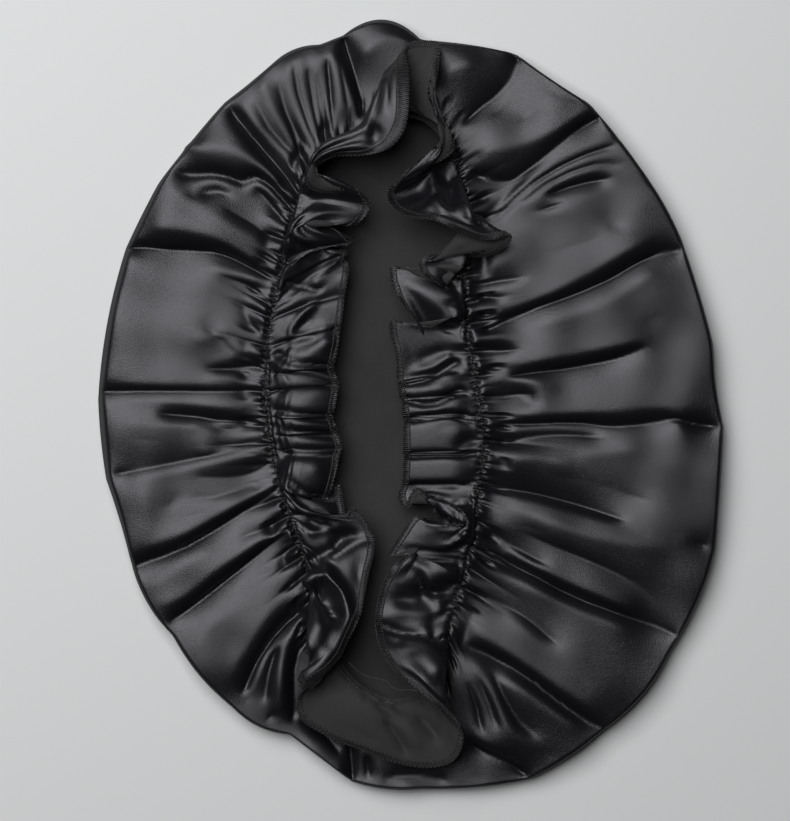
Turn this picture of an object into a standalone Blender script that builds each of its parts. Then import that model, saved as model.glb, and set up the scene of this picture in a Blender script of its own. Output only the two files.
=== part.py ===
"""A satin sleep bonnet, lying flat on a surface with its opening up.

Frame: metres, +Z up, +Y towards the top of the bonnet as it lies, the origin on the surface
under the middle of the outline. The bonnet is one disc of cloth, gathered onto a ring of elastic
a frill's width inside its hem. It is modelled as four pieces: the crown, the elastic band, the
ruffle and the overlocked stitching along the hem.
"""

import math

import bpy
from mathutils import Vector

MM = 0.001

# Driving dimensions, in millimetres
CLOTH = 1.0  # wall of the cloth as modelled
RIM_HEIGHT = 3.6  # how high the folded edge of the bag stands at its outermost line
BASE_INSET = 3.4  # the flat base starts this far inside the outline
ELASTIC_WIDTH = 6.0
ELASTIC_THICKNESS = 1.0
ELASTIC_UNDERSIDE = 8.3  # height of the band over the surface
SEAM_CLEARANCE = 0.4  # between two pieces that meet at the gather line
GATHER_HEIGHT = 11.9  # middle of the gathered cloth over the band
PUCKER_HEIGHT = 1.1  # each small gather rises and falls by this at the elastic
PUCKER_PITCH = 2.6  # half of one gather, at which the puckers have their full height
HEM_RADIUS = 1.0  # half the width of the overlocked edge
HEM_CLEARANCE = 0.6
RUFFLE_REACH = 30.0  # width of the frill, from the elastic to the hem
ARCH_INWARD = 8.0  # a frill that turns outward first bends this far over the opening
ARCH_LIFT = 13.0  # and rises this far over a straight line to its hem

# Finenesses
CREST_ROUNDNESS = 0.62  # below 1, a lobe is round on top and sharp in its valleys
RUFFLE_COLUMNS = 184
RUFFLE_PLEAT_REACH = 1.6  # a small pleat moves the hem in and out by this
RUFFLE_PLEAT_LIFT = 2.0  # and up and down by this
BAND_POINTS = 60
CURVE_STEPS = 12  # points read on a smooth curve between two rows of its table

# Gather line, anticlockwise from the middle of the right side: x, y
ELASTIC = (
    (29, -18), (26, 10), (21, 38), (21, 66), (20, 90),
    (14, 109), (0, 118), (-20, 110), (-40, 95), (-50, 62),
    (-57, 30), (-58, -2), (-53, -32), (-42, -63), (-37, -89),
    (-26, -111), (-8, -121), (8, -114), (15, -89), (22, -63),
)

# Valleys between the folds of the crown, anticlockwise from the right side.
#   rim_x, rim_y  where the valley meets the outline
#   station       where it meets the elastic, as a share of the elastic's length
#   bow           how far the valley bends sideways on its way, anticlockwise positive
#   bulge         how far the outline stands out between this valley and the next
#   crest         height of the fold between this valley and the next, over its valleys
#   columns       divisions of that fold
FOLDS = (
    # name, rim_x, rim_y, station, bow, bulge, crest, columns
    ("right_middle", 126.2, -9, 0.024, 0, -1.0, 9, 8),
    ("right_shoulder", 122, 24, 0.055, 0, 0.5, 12, 10),
    ("right_long", 109, 67, 0.095, -6, 1.0, 11, 12),
    ("right_upper", 92, 96, 0.165, 0, 0.5, 10, 8),
    ("right_crown", 72, 121, 0.205, 0, -0.6, 9, 8),
    ("right_top", 43, 141, 0.238, 0, 1.0, 7, 6),
    ("top_notch", 4, 147, 0.262, 0, 7.3, 8, 10),
    ("top_left", -27, 149, 0.318, 0, 0.0, 9, 4),
    ("left_top_near", -37, 145, 0.338, 0, 1.5, 8, 4),
    ("left_top_far", -53, 140, 0.354, 0, -0.4, 9, 6),
    ("left_crown", -75, 122, 0.378, 2, 0.5, 9, 6),
    ("left_upper", -102, 89, 0.402, 0, 0.3, 12, 8),
    ("left_long", -115, 63, 0.458, -3, 2.0, 13, 14),
    ("left_middle", -126.2, 2, 0.535, 0, 0.5, 9, 8),
    ("left_below", -123, -30, 0.578, 0, -0.5, 9, 6),
    ("left_low", -112, -67, 0.610, 1, 2.0, 9, 6),
    ("left_lower", -96, -93, 0.645, 0, 2.0, 10, 8),
    ("left_foot", -72, -122, 0.690, 0, 2.5, 8, 6),
    ("foot_left", -49, -133, 0.725, 0, 0.0, 6, 6),
    ("foot_mid", -24, -152, 0.765, 0, 1.5, 5, 6),
    ("foot_right", 4, -155, 0.802, 0, 1.3, 6, 8),
    ("right_foot", 48, -151, 0.858, -3, 1.5, 11, 6),
    ("right_lower", 78, -131, 0.885, 3, 3.0, 12, 8),
    ("right_low", 105, -99, 0.925, -2, 2.0, 13, 10),
    ("right_below", 123, -58, 0.972, 0, 0.0, 11, 10),
)

# Sections of the crown's upper side on the way from the outline to the elastic.
#   way     share of the way
#   valley  height of the valleys
#   crest   share of a fold's crest height
#   pucker  share of the gathers' height
SECTIONS = (
    # name, way, valley, crest, pucker
    ("shoulder", 0.03, 6.6, 0.22, 0.0),
    ("slope", 0.14, 8.4, 0.60, 0.0),
    ("swell", 0.36, 8.9, 0.92, 0.0),
    ("top", 0.62, 9.3, 1.00, 0.0),
    ("fall", 0.84, 10.9, 0.62, 0.2),
    ("gather", 1.00, GATHER_HEIGHT, 0.00, 1.0),
)

# Hem of the ruffle, anticlockwise from the middle of the right side.
#   x, y     where the hem lies
#   z        its height
#   station  the place on the elastic that this part of the frill is gathered to
#   pleats   small pleats between this row and the next
HEM = (
    # name, x, y, z, station, pleats
    ("right_middle", -1, -20, 10, 0.000, 3),
    ("right_pleats", -5, 4, 11, 0.040, 2),
    ("right_pleats_end", -8, 22, 12, 0.070, 0),
    ("right_flap_tip", -9, 31, 13, 0.084, 0),
    ("right_flap_tuck", -1, 36, 9, 0.099, 0),
    ("right_flap_side", -5, 44, 14, 0.112, 0),
    ("right_fold_tip", -9, 51, 15, 0.124, 0),
    ("right_fold_tuck", 2, 54, 11, 0.138, 0),
    ("right_fold_back", 5, 60, 15, 0.151, 0),
    ("wing_start", 20, 59, 17, 0.164, 0),
    ("wing_tip", 37, 65, 23, 0.177, 0),
    ("wing_tip_back", 33, 71, 28, 0.186, 0),
    ("wing_back", 14, 75, 28, 0.198, 0),
    ("wing_corner", -8, 82, 18, 0.211, 0),
    ("top_right_rise", -1, 91, 22, 0.222, 0),
    ("top_right_corner", 16, 101, 25, 0.235, 0),
    ("notch_right_wall", 10, 118, 28, 0.247, 0),
    ("notch_right_high", 9, 133, 25, 0.258, 0),
    ("notch_right_end", 10, 144, 16, 0.267, 0),
    ("notch_left_end", 1, 144, 16, 0.276, 0),
    ("notch_left_high", 0, 131, 26, 0.285, 0),
    ("notch_left_wall", -1, 114, 31, 0.296, 0),
    ("top_left_bend", -9, 101, 30, 0.310, 0),
    ("top_left_run", -27, 98, 25, 0.327, 0),
    ("top_left_turn", -40, 91, 20, 0.346, 0),
    ("curl_start", -35, 85, 18, 0.358, 0),
    ("curl_tip", -17, 81, 17, 0.374, 0),
    ("curl_back", -23, 73, 14, 0.390, 0),
    ("curl_tuck", -33, 69, 11, 0.404, 0),
    ("left_flap_tip", -25, 64, 13, 0.422, 0),
    ("left_flap_tuck", -32, 59, 10, 0.436, 0),
    ("left_pleats", -27, 52, 12, 0.452, 3),
    ("left_pleats_mid", -31, 22, 11, 0.498, 2),
    ("left_pleats_low", -31, -3, 11, 0.536, 3),
    ("left_pleats_end", -31, -33, 11, 0.584, 0),
    ("left_tuck", -22, -44, 10, 0.604, 0),
    ("left_loop_start", -16, -57, 14, 0.622, 0),
    ("left_loop_side", -18.5, -75, 19, 0.643, 0),
    ("left_loop_low", -25, -91, 25, 0.668, 0),
    ("left_loop_foot", -36, -105, 26, 0.696, 0),
    ("foot_corner", -43, -118, 21, 0.722, 0),
    ("foot_flap_left", -33, -131, 18, 0.748, 0),
    ("foot_flap_mid", -16, -138, 17, 0.772, 0),
    ("foot_flap_low", 3, -144, 17, 0.795, 0),
    ("foot_flap_right", 17, -142, 19, 0.815, 0),
    ("right_loop_turn", 20, -131, 25, 0.832, 0),
    ("right_loop_top", 9, -119, 30, 0.846, 0),
    ("right_loop_foot", -4, -108, 27, 0.859, 0),
    ("right_loop_low", -12, -97, 21, 0.872, 0),
    ("right_loop_side", -13.5, -83, 17, 0.886, 0),
    ("right_loop_start", -8, -68, 14, 0.902, 0),
    ("right_tuck", 1, -55, 11, 0.918, 0),
    ("right_lower_pleats", -2, -46, 11, 0.938, 2),
)

# Sections of the ruffle on the way from the elastic to the hem: share of the way, pucker share
RUFFLE_SECTIONS = (
    # name, way, pucker
    ("gather", 0.0, 1.0),
    ("spring", 0.28, 0.25),
    ("belly", 0.62, 0.0),
    ("hem", 1.0, 0.0),
)


def smooth_loop(points, steps):
    """A closed Catmull-Rom curve through the points, as a list of vectors."""
    count = len(points)
    curve = []
    for index in range(count):
        before = Vector(points[index - 1])
        start = Vector(points[index])
        end = Vector(points[(index + 1) % count])
        after = Vector(points[(index + 2) % count])
        for step in range(steps):
            t = step / steps
            curve.append(0.5 * (
                2 * start
                + (end - before) * t
                + (2 * before - 5 * start + 4 * end - after) * t ** 2
                + (3 * start - before - 3 * end + after) * t ** 3
            ))
    return curve


class MeasuredLoop:
    """A closed curve that gives its point and its inward direction at a share of its length."""

    def __init__(self, points):
        self.points = smooth_loop(points, CURVE_STEPS)
        self.marks = [0.0]
        for start, end in zip(self.points, self.points[1:] + self.points[:1]):
            self.marks.append(self.marks[-1] + (end - start).length)
        self.length = self.marks[-1]

    def at(self, station):
        distance = (station % 1.0) * self.length
        for index, start in enumerate(self.points):
            if distance <= self.marks[index + 1]:
                end = self.points[(index + 1) % len(self.points)]
                piece = self.marks[index + 1] - self.marks[index]
                return start.lerp(end, (distance - self.marks[index]) / piece)
        return self.points[0].copy()

    def inward(self, station):
        along = self.at(station + 0.004) - self.at(station - 0.004)
        return Vector((-along.y, along.x)).normalized()


def material(name, colour, roughness):
    made = bpy.data.materials.new(name)
    made.use_nodes = True
    shader = made.node_tree.nodes["Principled BSDF"]
    shader.inputs["Base Color"].default_value = (*colour, 1.0)
    shader.inputs["Roughness"].default_value = roughness
    shader.inputs["Metallic"].default_value = 0.0
    return made


def add_object(name, data, collection, finish):
    made = bpy.data.objects.new(name, data)
    collection.objects.link(made)
    data.materials.append(finish)
    return made


def loft(name, rows, hub=None):
    """A mesh of closed rows of vertices, in millimetres, with a fan to a hub before the first."""
    columns = len(rows[0])
    vertices = [Vector(point) * MM for row in rows for point in row]
    faces = []
    for row in range(len(rows) - 1):
        for column in range(columns):
            following = (column + 1) % columns
            low, high = row * columns, (row + 1) * columns
            faces.append((low + column, low + following, high + following, high + column))
    if hub is not None:
        vertices.append(Vector(hub) * MM)
        for column in range(columns):
            faces.append((len(vertices) - 1, (column + 1) % columns, column))
    mesh = bpy.data.meshes.new(name)
    mesh.from_pydata(vertices, [], faces)
    mesh.validate()
    mesh.shade_smooth()
    return mesh


def thicken(made, offset):
    solidify = made.modifiers.new("cloth", "SOLIDIFY")
    solidify.thickness = CLOTH * MM
    solidify.offset = offset
    solidify.use_even_offset = False
    solidify.use_rim = True


def pucker(column, pitch):
    """The rise of one column of gathers, less where the columns stand closer than a gather."""
    side = 1 if column % 2 else -1
    return side * PUCKER_HEIGHT * min(1.0, pitch / PUCKER_PITCH)


def crown_columns(elastic):
    """For each column of the crown: outline point, gather point, sideways bow, lobe, pucker."""
    columns = []
    count = len(FOLDS)
    for index, (_, x, y, station, bow, bulge, crest, divisions) in enumerate(FOLDS):
        _, next_x, next_y, next_station, next_bow, _, _, _ = FOLDS[(index + 1) % count]
        start, end = Vector((x, y)), Vector((next_x, next_y))
        chord = end - start
        outward = Vector((chord.y, -chord.x)).normalized()
        span = (next_station - station) % 1.0
        pitch = span * elastic.length / divisions
        for step in range(divisions):
            t = step / divisions
            outline = start.lerp(end, t) + outward * bulge * 4 * t * (1 - t)
            columns.append((
                outline,
                elastic.at(station + span * t),
                bow + (next_bow - bow) * t,
                crest * math.sin(math.pi * t) ** CREST_ROUNDNESS,
                pucker(step, pitch),
            ))
    return columns


def crown_rows(elastic):
    columns = crown_columns(elastic)
    base, rim = [], []
    for outline, gather, _, _, _ in columns:
        inset = (gather - outline).normalized() * BASE_INSET
        base.append((*(outline + inset), 0.0))
        rim.append((*outline, RIM_HEIGHT))
    rows = [base, rim]
    for _, way, valley, crest_share, pucker_share in SECTIONS:
        row = []
        for outline, gather, bow, lobe, rise in columns:
            course = gather - outline
            sideways = Vector((course.y, -course.x)).normalized()
            reach = way * (1 - 0.5 * SEAM_CLEARANCE / course.length)
            place = outline + course * reach + sideways * bow * 4 * way * (1 - way)
            row.append((*place, valley + lobe * crest_share + rise * pucker_share))
        rows.append(row)
    return rows


def hem_columns(elastic):
    """For each column of the ruffle: its station on the elastic and its point on the hem."""
    count = len(HEM)
    corners = [row[1:4] for row in HEM]
    stations = [row[4] for row in HEM]
    curve = smooth_loop(corners, CURVE_STEPS)
    columns = []
    for column in range(RUFFLE_COLUMNS):
        station = column / RUFFLE_COLUMNS
        row = max(index for index in range(count) if stations[index] <= station)
        end = stations[row + 1] if row + 1 < count else 1.0
        t = (station - stations[row]) / (end - stations[row])
        place = row * CURVE_STEPS + t * CURVE_STEPS
        index = int(place)
        point = curve[index].lerp(curve[(index + 1) % len(curve)], place - index)
        wave = math.sin(2 * math.pi * HEM[row][5] * t) if HEM[row][5] else 0.0
        reach = elastic.inward(station) * RUFFLE_PLEAT_REACH * wave
        point = point + Vector((*reach, RUFFLE_PLEAT_LIFT * wave))
        columns.append((station, point))
    return columns


def ruffle_rows(elastic, columns):
    pitch = elastic.length / RUFFLE_COLUMNS
    rows = []
    for _, way, pucker_share in RUFFLE_SECTIONS:
        row = []
        for column, (station, hem) in enumerate(columns):
            inward = elastic.inward(station)
            gather = elastic.at(station) + inward * (SEAM_CLEARANCE + 0.5 * CLOTH)
            start = Vector((*gather, GATHER_HEIGHT - 0.5 * CLOTH))
            along = (columns[(column + 1) % len(columns)][1] - columns[column - 1][1]).normalized()
            back = start - hem
            back = (back - along * back.dot(along)).normalized()
            end = hem + back * (HEM_RADIUS + HEM_CLEARANCE)
            outreach = max(0.0, -(hem.to_2d() - gather).dot(inward)) / RUFFLE_REACH
            hump = math.sin(math.pi * way) * min(1.0, outreach)
            place = start.lerp(end, way)
            place += Vector((*(inward * ARCH_INWARD * hump), ARCH_LIFT * hump))
            place.z += pucker(column, pitch) * pucker_share
            row.append(place)
        rows.append(row)
    return rows


def build_crown(elastic, collection):
    hub = elastic.at(0.25).lerp(elastic.at(0.75), 0.5)
    mesh = loft("crown", crown_rows(elastic), hub=(*hub, 0.0))
    satin = material("black_satin", (0.018, 0.017, 0.024), 0.34)
    crown = add_object("crown", mesh, collection, satin)
    thicken(crown, -1.0)


def build_ruffle(elastic, columns, collection):
    mesh = loft("ruffle", ruffle_rows(elastic, columns))
    satin = material("black_satin_frill", (0.018, 0.017, 0.024), 0.34)
    ruffle = add_object("ruffle", mesh, collection, satin)
    thicken(ruffle, 0.0)


def build_elastic_band(elastic, collection):
    outline = bpy.data.curves.new("elastic_band", "CURVE")
    outline.dimensions = "2D"
    outline.fill_mode = "BOTH"
    outline.extrude = 0.5 * ELASTIC_THICKNESS * MM
    for side in (-0.5, 0.5):
        spline = outline.splines.new("POLY")
        spline.points.add(BAND_POINTS - 1)
        spline.use_cyclic_u = True
        for index, point in enumerate(spline.points):
            station = index / BAND_POINTS
            place = elastic.at(station) + elastic.inward(station) * ELASTIC_WIDTH * side
            point.co = (place.x * MM, place.y * MM, 0.0, 1.0)
    rubber = material("black_elastic", (0.012, 0.012, 0.013), 0.75)
    band = add_object("elastic_band", outline, collection, rubber)
    band.location.z = (ELASTIC_UNDERSIDE + 0.5 * ELASTIC_THICKNESS) * MM


def build_hem_stitching(columns, collection):
    path = bpy.data.curves.new("hem_stitching", "CURVE")
    path.dimensions = "3D"
    path.fill_mode = "FULL"
    path.bevel_depth = HEM_RADIUS * MM
    path.bevel_resolution = 0
    path.use_fill_caps = True
    spline = path.splines.new("POLY")
    spline.points.add(len(columns) - 1)
    spline.use_cyclic_u = True
    for point, (_, hem) in zip(spline.points, columns):
        point.co = (*(hem * MM), 1.0)
    thread = material("black_thread", (0.020, 0.020, 0.023), 0.6)
    add_object("hem_stitching", path, collection, thread)


for leftover in list(bpy.data.objects):
    bpy.data.objects.remove(leftover, do_unlink=True)

bonnet = bpy.data.collections.new("sleep_bonnet")
bpy.context.scene.collection.children.link(bonnet)

gather_line = MeasuredLoop(ELASTIC)
frill = hem_columns(gather_line)
build_crown(gather_line, bonnet)
build_elastic_band(gather_line, bonnet)
build_ruffle(gather_line, frill, bonnet)
build_hem_stitching(frill, bonnet)
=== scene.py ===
"""A black satin sleep bonnet lying flat with its opening up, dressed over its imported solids."""
import math

import bpy
import numpy as np
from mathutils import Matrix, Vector


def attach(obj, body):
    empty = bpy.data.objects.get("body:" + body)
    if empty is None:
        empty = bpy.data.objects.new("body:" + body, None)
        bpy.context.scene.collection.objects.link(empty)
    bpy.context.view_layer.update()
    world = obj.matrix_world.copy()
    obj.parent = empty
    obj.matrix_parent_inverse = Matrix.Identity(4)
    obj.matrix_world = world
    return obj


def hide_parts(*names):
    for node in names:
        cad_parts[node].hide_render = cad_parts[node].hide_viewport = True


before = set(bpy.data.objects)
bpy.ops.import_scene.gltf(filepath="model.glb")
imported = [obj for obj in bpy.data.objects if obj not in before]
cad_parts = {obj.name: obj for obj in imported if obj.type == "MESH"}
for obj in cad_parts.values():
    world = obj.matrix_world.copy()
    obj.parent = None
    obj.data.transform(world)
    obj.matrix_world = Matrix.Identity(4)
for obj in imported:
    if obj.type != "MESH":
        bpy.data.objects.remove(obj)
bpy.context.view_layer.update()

# ---------------------------------------------------------------------------------------------
# Crown. One disc of satin, glossy on its face and dull on its wrong side. Its middle lies flat on
# the surface, its outside is folded over at the outline and drawn in to the elastic, so that the
# cloth above lies in flat-topped folds with stepped creases, and in fine gathers at the elastic.
MM = 0.001                     # sizes are in millimetres up to the finished meshes
COLUMNS = 1320                 # round the bonnet, six to each of the finest puckers
CROWN_ROWS = 50                # from the outline to the elastic
SATIN_THICKNESS = 0.30
GATHER_HEIGHT = 11.6           # of the gather line above the surface
CLOTH_SEED = 7
RIM_HEIGHT = 2.2               # where the cloth turns over at the outline
RIM_TURN = 2.4                 # how far in from the outline it stands up again
RIM_RISE = ((1.0, 10.8), (3.2, 11.8))      # how far in from the outline, and how high it is there
# how softly it turns over, as a share of those distances, by the station along the elastic
RIM_SOFT = (
    (0, .55), (.15, .55), (.19, .5), (.24, .5), (.27, 1.0), (.34, .8), (.40, .9), (.46, 1.5),
    (.56, 1.6), (.60, .8), (.64, .5), (.70, .5), (.76, .6), (.84, .5), (.87, .55), (.93, .5),
    (.96, .5), (1, .5),
)

# the line that the elastic takes, from the middle of the right side and round by the top
ELASTIC_LINE = (
    (29, -18), (26, 10), (21, 38), (21, 66), (20, 90), (14, 109), (0, 118), (-20, 110), (-40, 95),
    (-50, 62), (-57, 30), (-58, -2), (-53, -32), (-42, -63), (-37, -89), (-26, -111), (-8, -121),
    (8, -114), (15, -89), (22, -63),
)

# The outline, from the middle of the right side and round by the top. Each row is a place where
# it is drawn in, the station along the elastic that the cloth runs to from there, how far the
# cloth bows on its way, and how far the outline bulges on the way to the next row.
OUTLINE_COLUMNS = ("rim_x", "rim_y", "station", "bow", "bulge")
OUTLINE = (
    (126.2, -9, 0.024, 0, -1.0), (122, 24, 0.055, 0, 0.5), (109, 67, 0.095, -6, 1.0),
    (92, 96, 0.165, 0, 0.5), (72, 121, 0.205, 0, -0.6), (43, 141, 0.238, 0, 1.0),
    (4, 147, 0.262, 0, 7.3), (-27, 149, 0.318, 0, 0.0), (-37, 145, 0.338, 0, 1.5),
    (-53, 140, 0.354, 0, -0.4), (-75, 122, 0.378, 2, 0.5), (-102, 89, 0.402, 0, 0.3),
    (-115, 63, 0.458, -3, 2.0), (-126.2, 2, 0.535, 0, 0.5), (-123, -30, 0.578, 0, -0.5),
    (-112, -67, 0.610, 1, 2.0), (-96, -93, 0.645, 0, 2.0), (-72, -122, 0.690, 0, 2.5),
    (-49, -133, 0.725, 0, 0.0), (-24, -152, 0.765, 0, 1.5), (4, -155, 0.802, 0, 1.3),
    (48, -151, 0.858, -3, 1.5), (78, -131, 0.885, 3, 3.0), (105, -99, 0.925, -2, 2.0),
    (123, -58, 0.972, 0, 0.0),
)

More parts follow.
